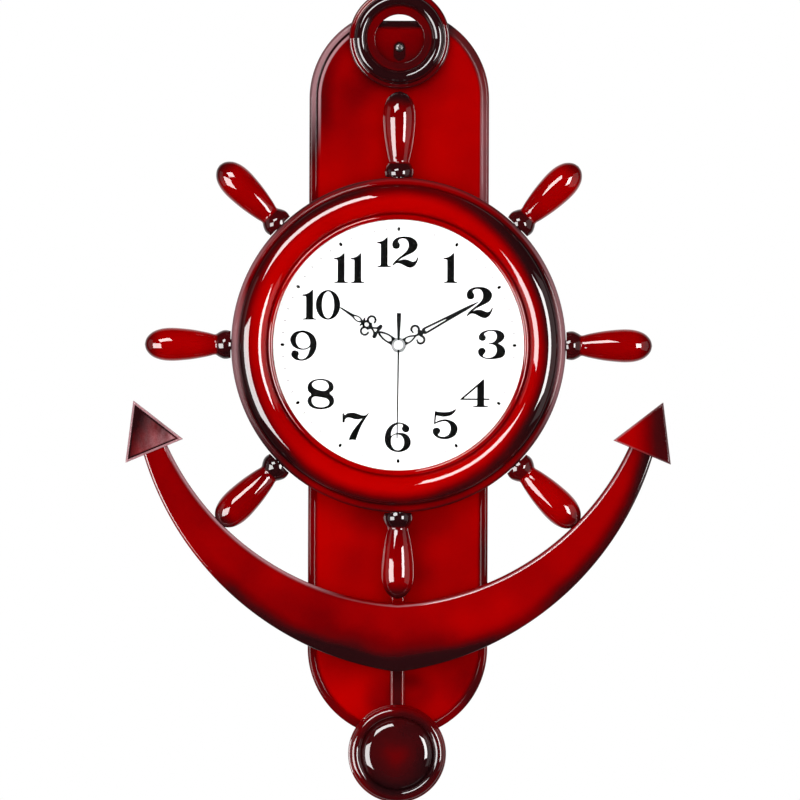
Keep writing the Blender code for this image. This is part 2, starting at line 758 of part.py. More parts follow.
def make_wheel_bezel():
    """A hollow turned rim: rounded flange, groove, fat torus, bead round the glass, and its recess."""
    centre, depth, size = RIM_TORUS_RADIUS, RIM_TORUS_DEPTH, RIM_TORUS_SIZE
    hollow = size - BEZEL_WALL
    flange = BEZEL_FLANGE_FRONT
    lip_back = GLASS_BACK + GLASS_THICKNESS + SEAT
    bead_depth = lip_back + BEAD_SIZE * 0.6
    wall_back = DIAL_BACK - 2 * SEAT
    profile = arc(centre, depth, size, 90.0, 12.0, 3)
    profile += [
        (centre + size + 0.3 * MM, flange + 0.3 * MM),
        (BEZEL_RADIUS - 3.0 * MM, flange),
        (BEZEL_RADIUS - 1.0 * MM, flange - 0.6 * MM),
        (BEZEL_RADIUS, flange - 2.6 * MM),
        (BEZEL_RADIUS, FRONT_SEAT),
        (BEZEL_RADIUS - BEZEL_WALL, FRONT_SEAT),
        (BEZEL_RADIUS - BEZEL_WALL, flange - 4.6 * MM),
    ]
    profile += arc(centre, depth, hollow, -5.0, 185.0, 3)
    profile += [
        (RECESS_RADIUS + BEZEL_WALL, wall_back),
        (RECESS_RADIUS, wall_back),
        (RECESS_RADIUS, lip_back),
        (SIGHT_RADIUS, lip_back),
    ]
    profile += arc(SIGHT_RADIUS + BEAD_SIZE, bead_depth + 0.3 * MM, BEAD_SIZE, 180.0, 45.0, 3)
    profile += arc(centre, depth, size, 160.0, 113.0, 2)
    bezel = turned("wheel_bezel", profile, WHEEL_SEGMENTS, closed=True)
    boss_back = FRONT_SEAT + case_screw_sink() + CASE_PLATE + SEAT
    for i in range(CASE_SCREW_COUNT):
        x, z = case_screw_place(i)
        join(bezel, cylinder("bezel_boss_%d" % (i + 1), BEZEL_BOSS_RADIUS, boss_back,
                             depth + size - BEZEL_WALL * 0.7, x, DIAL_Z + z))
    for i in range(CASE_SCREW_COUNT):
        x, z = case_screw_place(i)
        cut(bezel, cylinder("bezel_pilot_%d" % (i + 1), PILOT_RADIUS, 0.0, boss_back + SCREW_BITE + SEAT, x,
                            DIAL_Z + z, SCREW_SEGMENTS))
    for i in range(HANDLE_COUNT):
        cut(bezel, peg_socket(i))
    cut(bezel, pendulum_sweep())
    keep(bezel, "red_lacquer")


# Case back, dial and glass

def make_case_back():
    """A round plate behind the wheel, with a ring wall that carries the dial."""
    back = FRONT_SEAT
    front = FRONT_SEAT + CASE_PLATE
    wall_front = DIAL_BACK - SEAT
    outer = RECESS_RADIUS - SEAT
    rim = BEZEL_RADIUS - BEZEL_WALL - SEAT
    profile = [
        (0.0, front),
        (outer - RING_WALL, front),
        (outer - RING_WALL, wall_front),
        (outer, wall_front),
        (outer, front),
        (rim, front),
        (rim, back),
        (0.0, back),
    ]
    case = turned("case_back", profile, WHEEL_SEGMENTS)
    for i in range(CASE_SCREW_COUNT):
        x, z = case_screw_place(i)
        join(case, cylinder("case_cup_%d" % (i + 1), SCREW_HEAD_RADIUS + CASE_PLATE, back + CASE_PLATE / 2,
                            back + case_screw_sink() + CASE_PLATE, x, DIAL_Z + z))
    for i in range(CASE_SCREW_COUNT):
        x, z = case_screw_place(i)
        cut(case, cylinder("case_dimple_%d" % (i + 1), SCREW_HEAD_RADIUS + SEAT, 0.0,
                           back + case_screw_sink(), x, DIAL_Z + z))
        cut(case, cylinder("case_hole_%d" % (i + 1), PILOT_RADIUS, 0.0, wall_front, x, DIAL_Z + z,
                           SCREW_SEGMENTS))
    for side in (-1, 1):
        join(case, cylinder("board_boss_%d" % side, ANCHOR_BOSS_RADIUS, back + CASE_PLATE / 2,
                            back + SCREW_BITE + CASE_PLATE, side * BOARD_SCREW_X, DIAL_Z + BOARD_SCREW_Z))
    for side in (-1, 1):
        cut(case, cylinder("board_pilot_%d" % side, PILOT_RADIUS, 0.0, back + SCREW_BITE + SEAT,
                           side * BOARD_SCREW_X, DIAL_Z + BOARD_SCREW_Z, SCREW_SEGMENTS))
    cut(case, block("case_aperture", -APERTURE_HALF_WIDTH, APERTURE_HALF_WIDTH, 0.0, wall_front,
                    APERTURE_BOTTOM, APERTURE_TOP))
    cut(case, pendulum_sweep())
    keep(case, "black_plastic")


def make_dial_and_glass():
    dial_front = DIAL_BACK + DIAL_THICKNESS
    dial = turned("dial", [(DIAL_RADIUS, dial_front), (DIAL_RADIUS, DIAL_BACK), (DIAL_HOLE_RADIUS, DIAL_BACK),
                           (DIAL_HOLE_RADIUS, dial_front)], WHEEL_SEGMENTS, closed=True)
    keep(dial, "white_dial")
    outer = RECESS_RADIUS - SEAT
    inner = SIGHT_RADIUS + SEAT * 2
    spacer_back = dial_front + SEAT
    spacer_front = GLASS_BACK - SEAT
    spacer = turned("dial_spacer", [(outer, spacer_front), (outer, spacer_back), (inner, spacer_back),
                                    (inner, spacer_front)], WHEEL_SEGMENTS, closed=True)
    keep(spacer, "white_plastic")
    glass_front = GLASS_BACK + GLASS_THICKNESS
    glass = turned("glass_lens", [(0.0, glass_front), (outer, glass_front), (outer, GLASS_BACK),
                                  (0.0, GLASS_BACK)], WHEEL_SEGMENTS)
    keep(glass, "clear_glass")


# Anchor

def fluke_axes():
    lean = math.radians(FLUKE_LEAN)
    along = (math.sin(lean), math.cos(lean))
    across = (math.cos(lean), -math.sin(lean))
    return along, across


def arrow_point(across_by, along_by):
    """A point of the right arrowhead, from the middle of its base."""
    along, across = fluke_axes()
    x = FLUKE_X + across[0] * across_by + along[0] * along_by
    z = -FLUKE_BELOW_DIAL + across[1] * across_by + along[1] * along_by
    return x, z


def arc_centre(radius, start, end):
    """Centre of the arc that sags below the line between two points."""
    half_x, half_z = (end[0] - start[0]) / 2, (end[1] - start[1]) / 2
    half = math.hypot(half_x, half_z)
    rise = math.sqrt(radius * radius - half * half)
    x = start[0] + half_x - half_z / half * rise
    z = start[1] + half_z + half_x / half * rise
    return x, z


def arm_arcs():
    """Radius and centre of the right arm's inner and outer edge."""
    inner_end = arrow_point(-ARM_END_WIDTH / 2 - ARM_END_SHIFT, 0.0)
    outer_end = arrow_point(ARM_END_WIDTH / 2 - ARM_END_SHIFT, 0.0)
    inner_start = (0.0, -ANCHOR_BELOW_DIAL)
    outer_start = (0.0, -ANCHOR_BELOW_DIAL - ANCHOR_MIDDLE_HEIGHT)
    inner = arc_centre(INNER_ARC_RADIUS, inner_start, inner_end)
    outer = arc_centre(OUTER_ARC_RADIUS, outer_start, outer_end)
    return (INNER_ARC_RADIUS, *inner), (OUTER_ARC_RADIUS, *outer)


def arm_edge(radius, x, z, reach):
    """Half of one edge, from the crescent's middle to a line past the arrowhead's base."""
    _, across = fluke_axes()
    px, pz = arrow_point(0.0, reach)
    middle = (px - x) * across[0] + (pz - z) * across[1]
    step = -middle + math.sqrt(middle * middle - ((px - x) ** 2 + (pz - z) ** 2 - radius * radius))
    end_x, end_z = px + across[0] * step - x, pz + across[1] * step - z
    start = -90.0 + math.degrees(math.asin(-x / radius))
    points = arc(x, z, radius, start, math.degrees(math.atan2(end_z, end_x)), 12)
    points[0] = (0.0, points[0][1])
    return points


def anchor_outline(inner_inset, outer_inset, end_inset):
    (inner_radius, inner_x, inner_z), (outer_radius, outer_x, outer_z) = arm_arcs()
    reach = ARM_TENON - end_inset
    outer = arm_edge(outer_radius - outer_inset, outer_x, outer_z, reach)
    inner = arm_edge(inner_radius + inner_inset, inner_x, inner_z, reach)
    return mirrored(outer + inner[::-1])


def make_anchor():
    face_back = ANCHOR_FRONT - SHELL_WALL
    sections = (
        (anchor_outline(SHELL_WALL + CHAMFER_DROP / 2, SHELL_WALL, SHELL_WALL), face_back),
        (anchor_outline(SHELL_WALL, SHELL_WALL, SHELL_WALL), face_back - CHAMFER_DROP / 2),
        (anchor_outline(SHELL_WALL, SHELL_WALL, SHELL_WALL), FRONT_SEAT),
        (anchor_outline(0.0, 0.0, 0.0), FRONT_SEAT),
        (anchor_outline(0.0, 0.0, 0.0), ANCHOR_FRONT - CHAMFER_DROP),
        (anchor_outline(INNER_CHAMFER, OUTER_CHAMFER, 0.0), ANCHOR_FRONT),
    )
    anchor = loft("anchor_arms", sections)
    for side in (-1, 1):
        join(anchor, cylinder("anchor_boss_%d" % side, ANCHOR_BOSS_RADIUS, FRONT_SEAT,
                              ANCHOR_FRONT - SHELL_WALL / 2, side * ANCHOR_SCREW_X, DIAL_Z + ANCHOR_SCREW_Z))
    for side in (-1, 1):
        cut(anchor, cylinder("anchor_pilot_%d" % side, PILOT_RADIUS, 0.0, FRONT_SEAT + SCREW_BITE + SEAT,
                             side * ANCHOR_SCREW_X, DIAL_Z + ANCHOR_SCREW_Z, SCREW_SEGMENTS))
    cut(anchor, pendulum_sweep())
    for index in (HANDLE_COUNT * 3 // 8, HANDLE_COUNT * 5 // 8):
        cut(anchor, handle_solid("tip_dimple_%d" % index, index, grow=SEAT))
    keep(anchor, "red_lacquer")


def fluke_outline(side, inset):
    """The arrowhead's triangle, drawn in by the inset on all three sides."""
    slant = math.hypot(FLUKE_BASE / 2, FLUKE_LENGTH)
    in_radius = FLUKE_BASE * FLUKE_LENGTH / (FLUKE_BASE + 2 * slant)
    share = (in_radius - inset) / in_radius
    corners = ((-FLUKE_BASE / 2, 0.0), (FLUKE_BASE / 2, 0.0), (0.0, FLUKE_LENGTH))
    points = []
    for across_by, along_by in corners:
        x, z = arrow_point(across_by * share, in_radius + (along_by - in_radius) * share)
        points.append((side * x, z))
    return points


def make_flukes():
    for name, side in (("left_fluke", -1), ("right_fluke", 1)):
        face_back = FLUKE_FRONT - SHELL_WALL
        sections = (
            (fluke_outline(side, SHELL_WALL + FLUKE_BEVEL / 2), face_back),
            (fluke_outline(side, SHELL_WALL), face_back - FLUKE_BEVEL / 2),
            (fluke_outline(side, SHELL_WALL), FLUKE_BACK),
            (fluke_outline(side, 0.0), FLUKE_BACK),
            (fluke_outline(side, 0.0), FLUKE_FRONT - FLUKE_BEVEL),
            (fluke_outline(side, FLUKE_BEVEL), FLUKE_FRONT),
        )
        fluke = loft(name, sections)
        arm = anchor_outline(-SEAT, -SEAT, -SEAT)
        cut(fluke, outline_solid(name + "_arm_room", [arm], BOARD_FACE, ANCHOR_FRONT + SEAT))
        keep(fluke, "red_lacquer")


# Movement: housing, motor and gear train

def layer(index):
    """Back and front depth of one layer of wheels."""
    front = MOVEMENT_FRONT - MOVEMENT_WALL - SEAT - LAYER_PITCH * index
    return front - GEAR_FACE, front


def arbor_places():
    """Where each arbor stands, from the centre, in the plane of the dial."""
    third = polar(pitch_radius(SECOND_PINION_TEETH, TRAIN_MODULE)
                  + pitch_radius(THIRD_WHEEL_TEETH, TRAIN_MODULE), THIRD_DIRECTION)
    intermediate = polar(pitch_radius(INTERMEDIATE_PINION_TEETH, TRAIN_MODULE)
                         + pitch_radius(SECOND_WHEEL_TEETH, TRAIN_MODULE), INTERMEDIATE_DIRECTION)
    step = polar(pitch_radius(ROTOR_PINION_TEETH, ROTOR_MODULE)
                 + pitch_radius(INTERMEDIATE_WHEEL_TEETH, ROTOR_MODULE), ROTOR_DIRECTION)
    rotor = (intermediate[0] + step[0], intermediate[1] + step[1])
    motion = polar(pitch_radius(CANNON_TEETH, MOTION_MODULE)
                   + pitch_radius(MOTION_WHEEL_TEETH, MOTION_MODULE), MOTION_DIRECTION)
    return {"third": third, "intermediate": intermediate, "rotor": rotor, "motion": motion}


def centre_module():
    """The third pinion and the centre wheel span the same distance as the pair behind them."""
    span = pitch_radius(SECOND_PINION_TEETH, TRAIN_MODULE) + pitch_radius(THIRD_WHEEL_TEETH, TRAIN_MODULE)
    return 2 * span / (THIRD_PINION_TEETH + CENTRE_WHEEL_TEETH)


def hour_module():
    span = pitch_radius(CANNON_TEETH, MOTION_MODULE) + pitch_radius(MOTION_WHEEL_TEETH, MOTION_MODULE)
    return 2 * span / (MOTION_PINION_TEETH + HOUR_WHEEL_TEETH)


def gear_solid(name, teeth, module, level, x, z, mesh_direction, driven, spread=0.0):
    """One wheel. The driver has a tooth towards its mate, and the driven wheel a gap."""
    tooth_at = mesh_direction
    if driven:
        tooth_at = mesh_direction + 180.0 + 180.0 / teeth
    back, front = layer(level)
    return outline_solid(name, [gear_outline(teeth, module, tooth_at)], back - spread, front, x, DIAL_Z + z)


def arbor_ends():
    """Depths of an arbor's two ends, each inside its bush."""
    front = MOVEMENT_FRONT - MOVEMENT_WALL + BUSH_DEPTH - SEAT
    back = MOVEMENT_BACK + COVER_THICKNESS - BUSH_DEPTH + SEAT
    return back, front


def make_movement_base():
    wide, wall = MOVEMENT_HALF_WIDTH, MOVEMENT_WALL
    inner_front = MOVEMENT_FRONT - wall
    base = block("movement_base", -wide, wide, MOVEMENT_BACK, MOVEMENT_FRONT, MOVEMENT_BOTTOM, MOVEMENT_TOP)
    join(base, block("drive_box", -DRIVE_BOX_HALF_WIDTH, DRIVE_BOX_HALF_WIDTH, DRIVE_BOX_BACK,
                     MOVEMENT_FRONT - SEAT, DRIVE_BOX_BOTTOM, MOVEMENT_BOTTOM + wall / 2))
    cut(base, block("train_bay", -wide + wall, wide - wall, 0.0, inner_front, BATTERY_BAY_TOP + wall,
                    MOVEMENT_TOP - wall))
    cut(base, block("battery_bay", -wide + wall, wide - wall, 0.0, inner_front, MOVEMENT_BOTTOM + wall,
                    BATTERY_BAY_TOP))
    coil_z = -PIVOT_BELOW_DIAL - MAGNET_DROP
    cut(base, cylinder("coil_well", DRIVE_COIL_RADIUS + SEAT, 0.0, inner_front, 0.0, DIAL_Z + coil_z, 16))
    join(base, cylinder("pivot_boss", PIVOT_BORE + wall, DRIVE_BOX_BACK - wall, HANGER_ARM_BACK
                        + HANGER_ARM_THICKNESS + SEAT, 0.0, DIAL_Z - PIVOT_BELOW_DIAL)
         if DRIVE_BOX_BACK - wall < HANGER_ARM_BACK + HANGER_ARM_THICKNESS + SEAT else
         cylinder("pivot_boss", PIVOT_BORE + wall, HANGER_ARM_BACK + HANGER_ARM_THICKNESS + SEAT,
                  DRIVE_BOX_BACK + wall, 0.0, DIAL_Z - PIVOT_BELOW_DIAL))
    cut(base, cylinder("pivot_bore", PIVOT_BORE, 0.0, DRIVE_BOX_BACK + 4 * wall, 0.0, DIAL_Z - PIVOT_BELOW_DIAL))
    for name, x, z, top in post_places():
        join(base, cylinder("post_" + name, 1.3 * MM, top, inner_front + wall / 2, x, DIAL_Z + z, SCREW_SEGMENTS))
    join(base, cylinder("centre_tube", TUBE_RADIUS, inner_front + wall / 2, TUBE_FRONT, segments=16))
    cut(base, cylinder("centre_bore", TUBE_BORE, 0.0, TUBE_FRONT + SEAT, segments=16))
    for name, (x, z) in arbor_places().items():
        cut(base, cylinder("front_bush_" + name, BUSH_RADIUS, inner_front - wall, inner_front + BUSH_DEPTH, x,
                           DIAL_Z + z, SCREW_SEGMENTS))
    keep(base, "black_plastic")


def stator_depth():
    """Middle of the rotor's magnet, which the stator plate lies round."""
    back, _ = layer(5)
    return back - SEAT - MAGNET_LENGTH / 2


def post_places():
    rotor_x, rotor_z = arbor_places()["rotor"]
    stator_front = stator_depth() + STATOR_THICKNESS / 2 + SEAT
    board_front = BOARD_GREEN_FRONT + SEAT
    return (
        ("stator_1", rotor_x - 3.6 * MM, rotor_z + 3.6 * MM, stator_front),
        ("stator_2", rotor_x - 3.6 * MM, rotor_z - 3.6 * MM, stator_front),
        ("board_1", BOARD_GREEN_LEFT + 2.5 * MM, BOARD_GREEN_TOP - 2.0 * MM, board_front),
        ("board_2", BOARD_GREEN_RIGHT - 2.5 * MM, BOARD_GREEN_TOP - 2.0 * MM, board_front),
    )


# Circuit board, beside the motion wheel and above the third wheel
BOARD_GREEN_LEFT = 4.5 * MM
BOARD_GREEN_RIGHT = 26.0 * MM
BOARD_GREEN_BOTTOM = 17.5 * MM
BOARD_GREEN_TOP = 24.0 * MM
BOARD_GREEN_FRONT = 26.0 * MM
BOARD_GREEN_THICKNESS = 1.0 * MM


def make_movement_fixed_pieces():
    wide, wall = MOVEMENT_HALF_WIDTH, MOVEMENT_WALL
    cover_back = MOVEMENT_BACK + 0.1 * MM
    cover_front = cover_back + COVER_THICKNESS
    cover = block("movement_cover", -wide + wall + SEAT, wide - wall - SEAT, cover_back, cover_front,
                  BATTERY_BAY_TOP + wall + SEAT, MOVEMENT_TOP - wall - SEAT)
    for name, (x, z) in list(arbor_places().items()) + [("centre", (0.0, 0.0))]:
        bottom = 0.0 if name == "motion" else cover_front - BUSH_DEPTH
        radius = CANNON_RADIUS + RUNNING if name == "motion" else BUSH_RADIUS
        cut(cover, cylinder("rear_bush_" + name, radius, bottom, cover_front + wall, x, DIAL_Z + z,
                            SCREW_SEGMENTS))
    keep(cover, "white_plastic")

    dial_front = DIAL_BACK + DIAL_THICKNESS
    nut = outline_solid("mounting_nut", [circle(NUT_RADIUS, 6), circle(TUBE_RADIUS + SEAT, 12)],
                        dial_front + SEAT, dial_front + SEAT + NUT_THICKNESS)
    keep(nut, "brass")
    gasket_back = MOVEMENT_FRONT + SEAT
    gasket = outline_solid("gasket", [circle(GASKET_RADIUS, 20), circle(TUBE_RADIUS + SEAT, 12)],
                           gasket_back, gasket_back + GASKET_THICKNESS)
    keep(gasket, "rubber")

    rotor_x, rotor_z = arbor_places()["rotor"]
    middle = stator_depth()
    leg_left, leg_right = rotor_x - 1.2 * MM, rotor_x + 1.2 * MM
    top = MOVEMENT_TOP - 3.5 * MM
    yoke = 5.0 * MM
    outline = [
        (rotor_x - yoke, rotor_z - yoke),
        (rotor_x + yoke * 0.9, rotor_z - yoke),
        (rotor_x + yoke * 0.9, rotor_z + yoke),
        (leg_right, rotor_z + yoke),
        (leg_right, top),
        (leg_left, top),
        (leg_left, rotor_z + yoke),
        (rotor_x - yoke, rotor_z + yoke),
    ]
    stator = outline_solid("stator_plate", [outline, circle(STATOR_HOLE_RADIUS, 16, rotor_x, rotor_z)],
                           middle - STATOR_THICKNESS / 2, middle + STATOR_THICKNESS / 2)
    keep(stator, "steel")

    make_motor_coil(rotor_x, middle, rotor_z + yoke + SEAT, top - SEAT)
    green = block("circuit_board", BOARD_GREEN_LEFT, BOARD_GREEN_RIGHT,
                  BOARD_GREEN_FRONT - BOARD_GREEN_THICKNESS, BOARD_GREEN_FRONT, BOARD_GREEN_BOTTOM,
                  BOARD_GREEN_TOP)
    chip_x = (BOARD_GREEN_LEFT + BOARD_GREEN_RIGHT) / 2
    chip_z = (BOARD_GREEN_BOTTOM + BOARD_GREEN_TOP) / 2
    join(green, cylinder("chip_blob", 2.2 * MM, BOARD_GREEN_FRONT - 2 * BOARD_GREEN_THICKNESS,
                         BOARD_GREEN_FRONT - BOARD_GREEN_THICKNESS / 2, chip_x, DIAL_Z + chip_z))
    keep(green, "circuit_green")


def make_motor_coil(x, depth, bottom, top):
    """A bobbin with flanges, wound between them, round the stator's leg."""
    bore = 1.5 * MM
    flange = 0.8 * MM
    winding = COIL_RADIUS - 0.5 * MM
    profile = [
        (COIL_RADIUS, top),
        (COIL_RADIUS, top - flange),
        (winding, top - flange),
        (winding, bottom + flange),
        (COIL_RADIUS, bottom + flange),
        (COIL_RADIUS, bottom),
        (bore, bottom),
        (bore, top),
    ]
    bm = bmesh.new()
    points = [bm.verts.new((radius, 0.0, height)) for radius, height in profile]
    for i, point in enumerate(points):
        bm.edges.new((point, points[(i + 1) % len(points)]))
    mesh = bpy.data.meshes.new("motor_coil")
    bm.to_mesh(mesh)
    bm.free()
    obj = bpy.data.objects.new("motor_coil", mesh)
    obj.location = (x, -depth, DIAL_Z)
    add_screw(obj, 10)
    keep(obj, "copper_winding")


def make_gear_train():
    places = arbor_places()
    back, front = arbor_ends()
    third_x, third_z = places["third"]
    inter_x, inter_z = places["intermediate"]
    rotor_x, rotor_z = places["rotor"]
    motion_x, motion_z = places["motion"]
    centre = centre_module()
    hour = hour_module()

    second = gear_solid("second_arbor", SECOND_WHEEL_TEETH, TRAIN_MODULE, 4, 0.0, 0.0,
                        INTERMEDIATE_DIRECTION + 180.0, True)
    join(second, gear_solid("second_pinion", SECOND_PINION_TEETH, TRAIN_MODULE, 3, 0.0, 0.0,
                            THIRD_DIRECTION, False, spread=LAYER_PITCH - GEAR_FACE / 2))
    join(second, cylinder("second_shaft", ARBOR_RADIUS, back, SECOND_HAND_DEPTH + HAND_THICKNESS, segments=8))
    keep(second, "white_plastic")

    third = gear_solid("third_wheel", THIRD_WHEEL_TEETH, TRAIN_MODULE, 3, third_x, third_z,
                       THIRD_DIRECTION, True)
    join(third, gear_solid("third_pinion", THIRD_PINION_TEETH, centre, 2, third_x, third_z,
                           THIRD_DIRECTION + 180.0, False, spread=LAYER_PITCH - GEAR_FACE / 2))
    join(third, cylinder("third_shaft", ARBOR_RADIUS, back, front, third_x, DIAL_Z + third_z, 8))
    keep(third, "white_plastic")

    centre_wheel = gear_solid("centre_wheel", CENTRE_WHEEL_TEETH, centre, 2, 0.0, 0.0,
                              THIRD_DIRECTION + 180.0, True)
    cut(centre_wheel, cylinder("clutch_bore", CANNON_RADIUS + RUNNING, 0.0, MOVEMENT_FRONT, segments=16))
    keep(centre_wheel, "white_plastic")

    inter = gear_solid("intermediate_wheel", INTERMEDIATE_WHEEL_TEETH, ROTOR_MODULE, 5, inter_x, inter_z,
                       ROTOR_DIRECTION + 180.0, True)
    pinion_back, pinion_front = layer(4)
    pinion = outline_solid("intermediate_pinion",
                           [gear_outline(INTERMEDIATE_PINION_TEETH, TRAIN_MODULE, INTERMEDIATE_DIRECTION + 180.0)],
                           pinion_back - LAYER_PITCH + GEAR_FACE / 2, pinion_front, inter_x, DIAL_Z + inter_z)
    join(inter, pinion)
    join(inter, cylinder("intermediate_shaft", ARBOR_RADIUS, back, front, inter_x, DIAL_Z + inter_z, 8))
    keep(inter, "white_plastic")

    rotor = gear_solid("rotor", ROTOR_PINION_TEETH, ROTOR_MODULE, 5, rotor_x, rotor_z,
                       ROTOR_DIRECTION + 180.0, False, spread=SEAT + GEAR_FACE / 2)
    middle = stator_depth()
    join(rotor, cylinder("rotor_magnet", MAGNET_RADIUS, middle - MAGNET_LENGTH / 2, middle + MAGNET_LENGTH / 2,
                         rotor_x, DIAL_Z + rotor_z, 12))
    join(rotor, cylinder("rotor_shaft", ARBOR_RADIUS, back, front, rotor_x, DIAL_Z + rotor_z, 8))
    keep(rotor, "steel")

    cannon_back, cannon_front = layer(1)
    centre_back, _ = layer(2)
    cannon = gear_solid("cannon_pinion", CANNON_TEETH, MOTION_MODULE, 1, 0.0, 0.0, MOTION_DIRECTION, False)
    join(cannon, cylinder("cannon_tube", CANNON_RADIUS, centre_back, MINUTE_HAND_DEPTH + 2 * HAND_THICKNESS,
                          segments=12))
    cut(cannon, cylinder("cannon_bore", CANNON_BORE, 0.0, GLASS_BACK, segments=12))
    keep(cannon, "brass")

    motion = gear_solid("motion_wheel", MOTION_WHEEL_TEETH, MOTION_MODULE, 1, motion_x, motion_z,
                        MOTION_DIRECTION, True)
    pinion_back, pinion_front = layer(0)
    motion_pinion = outline_solid("motion_pinion",
                                  [gear_outline(MOTION_PINION_TEETH, hour, MOTION_DIRECTION + 180.0)],
                                  pinion_back - LAYER_PITCH + GEAR_FACE / 2, pinion_front, motion_x,
                                  DIAL_Z + motion_z)
    join(motion, motion_pinion)
    join(motion, cylinder("motion_front_pivot", ARBOR_RADIUS, pinion_back, front, motion_x, DIAL_Z + motion_z, 8))
    join(motion, cylinder("motion_stem", CANNON_RADIUS, KNOB_BACK + 1.5 * MM, cannon_front - GEAR_FACE / 2,
                          motion_x, DIAL_Z + motion_z, 10))
    keep(motion, "white_plastic")

    hour_wheel = gear_solid("hour_wheel", HOUR_WHEEL_TEETH, hour, 0, 0.0, 0.0, MOTION_DIRECTION, True)
    hour_back, _ = layer(0)
    join(hour_wheel, cylinder("hour_pipe", HOUR_PIPE_RADIUS, hour_back + GEAR_FACE / 2,
                              HOUR_HAND_DEPTH + 2 * HAND_THICKNESS, segments=14))
    cut(hour_wheel, cylinder("hour_bore", HOUR_PIPE_BORE, 0.0, GLASS_BACK, segments=14))
    keep(hour_wheel, "white_plastic")

    knob_front = MOVEMENT_BACK - SEAT
    knob = outline_solid("set_knob", [knob_outline()], KNOB_BACK, knob_front, motion_x, DIAL_Z + motion_z)
    cut(knob, cylinder("knob_bore", CANNON_RADIUS + SEAT, KNOB_BACK + 1.2 * MM, knob_front + SEAT, motion_x,
                       DIAL_Z + motion_z, 10))
    keep(knob, "white_plastic")


def knob_outline():
    """A finger wheel with shallow flutes."""
    points = []
    flutes = 16
    for i in range(flutes * 2):
        radius = KNOB_RADIUS if i % 2 == 0 else KNOB_RADIUS * 0.92
        points.append(polar(radius, 180.0 * i / flutes))
    return points


# Battery and its contacts

def make_battery():
    bm = bmesh.new()
    half = BATTERY_LENGTH / 2
    profile = [
        (0.0, half + BATTERY_NUB),
        (2.6 * MM, half + BATTERY_NUB),
        (2.6 * MM, half),
        (BATTERY_RADIUS - 0.6 * MM, half),
        (BATTERY_RADIUS, half - 0.6 * MM),
        (BATTERY_RADIUS, -half + 0.6 * MM),
        (BATTERY_RADIUS - 0.6 * MM, -half),
        (0.0, -half),
    ]
    points = [bm.verts.new((radius, 0.0, distance)) for radius, distance in profile]
    for first, second in zip(points, points[1:]):
        bm.edges.new((first, second))
    mesh = bpy.data.meshes.new("battery")
    bm.to_mesh(mesh)
    bm.free()
    battery = bpy.data.objects.new("battery", mesh)
    battery.location = (battery_x(), -battery_depth(), DIAL_Z + BATTERY_Z)
    battery.rotation_euler = (0.0, math.pi / 2, 0.0)
    add_screw(battery, 14)
    keep(battery, "battery_sleeve")


def battery_depth():
    return MOVEMENT_FRONT - MOVEMENT_WALL - SEAT - BATTERY_RADIUS


def battery_x():
    """The battery's nub stands just off the positive contact."""
    inner = MOVEMENT_HALF_WIDTH - MOVEMENT_WALL
    return inner - 2 * SEAT - CONTACT_THICKNESS - BATTERY_NUB - BATTERY_LENGTH / 2


def prism_x_depth(name, outline, bottom, top):
    """An outline in the plane of X and depth, raised from one height to another."""
    bm = bmesh.new()
    lower = [bm.verts.new((x, -depth, bottom)) for x, depth in outline]
    face = bm.faces.new(lower)
    raised = bmesh.ops.extrude_face_region(bm, geom=[face])
    moved = [item for item in raised["geom"] if isinstance(item, bmesh.types.BMVert)]
    bmesh.ops.translate(bm, verts=moved, vec=Vector((0.0, 0.0, top - bottom)))
    return bm


def make_battery_contacts():
    inner = MOVEMENT_HALF_WIDTH - MOVEMENT_WALL
    middle = battery_depth()
    half_height = 4.0 * MM
    plate_right = inner - SEAT
    plate = block("battery_contact", plate_right - CONTACT_THICKNESS, plate_right, middle - BATTERY_RADIUS * 0.8,
                  middle + BATTERY_RADIUS * 0.8, BATTERY_Z - half_height, BATTERY_Z + half_height)
    keep(plate, "steel")
    left = -inner + SEAT
    battery_end = battery_x() - BATTERY_LENGTH / 2
    crest = battery_end - SEAT
    thick = CONTACT_THICKNESS
    front = middle + BATTERY_RADIUS * 0.8
    back = middle - BATTERY_RADIUS * 0.8
    outline = [
        (left, back),
        (left + thick, back),
        (left + thick, front - 2 * thick),
        (crest - thick, middle + thick),
        (crest - thick, middle - thick),
        (left + 2 * thick, back + 3 * thick),
        (left + 2 * thick, back + 2 * thick),
        (crest, middle - 2 * thick),
        (crest, middle + 2 * thick),
        (left + thick, front),
        (left, front),
    ]
    bm = prism_x_depth("battery_spring", outline, BATTERY_Z - half_height, BATTERY_Z + half_height)
    keep(mesh_object("battery_spring", bm, 0.0, 0.0, DIAL_Z), "steel")


# Hands

def scaled(points, unit):
    return [(x * unit, z * unit) for x, z in points]


def minute_hand_outline():
    """Outline in hundredths of the hand's length, with its leaf and slot cut through."""
    unit = MINUTE_HAND_LENGTH / 100
    hook_x, hook_z, outer, inner = 6.2, 23.5, 5.0, 3.2
    half = arc(0.0, 0.0, MINUTE_HUB_RADIUS / unit, -90.0, 60.0, 5)
    half += [(3.87, 10.8), (3.43, 14.5), (2.34, 18.0), (1.17, 20.7), (1.39, 24.1)]
    half += arc(hook_x, hook_z, inner, 140.0, -105.0, 5)
    half += arc(hook_x, hook_z, outer, -105.0, 125.0, 5)
    half += [(1.75, 29.1), (3.2, 31.2), (3.36, 33.3), (2.1, 61.3), (1.3, 85.7), (0.0, 100.0)]
    leaf = mirrored([(0.0, 8.6), (2.2, 9.9), (2.5, 12.0), (1.75, 15.5), (0.0, 19.3)])
    slot = mirrored([(0.0, 32.1), (1.7, 33.6), (0.45, 60.0), (0.0, 60.5)])
    hole = circle(CANNON_RADIUS + SEAT, 12)
    return [scaled(mirrored(half), unit), scaled(leaf, unit), scaled(slot, unit), hole]


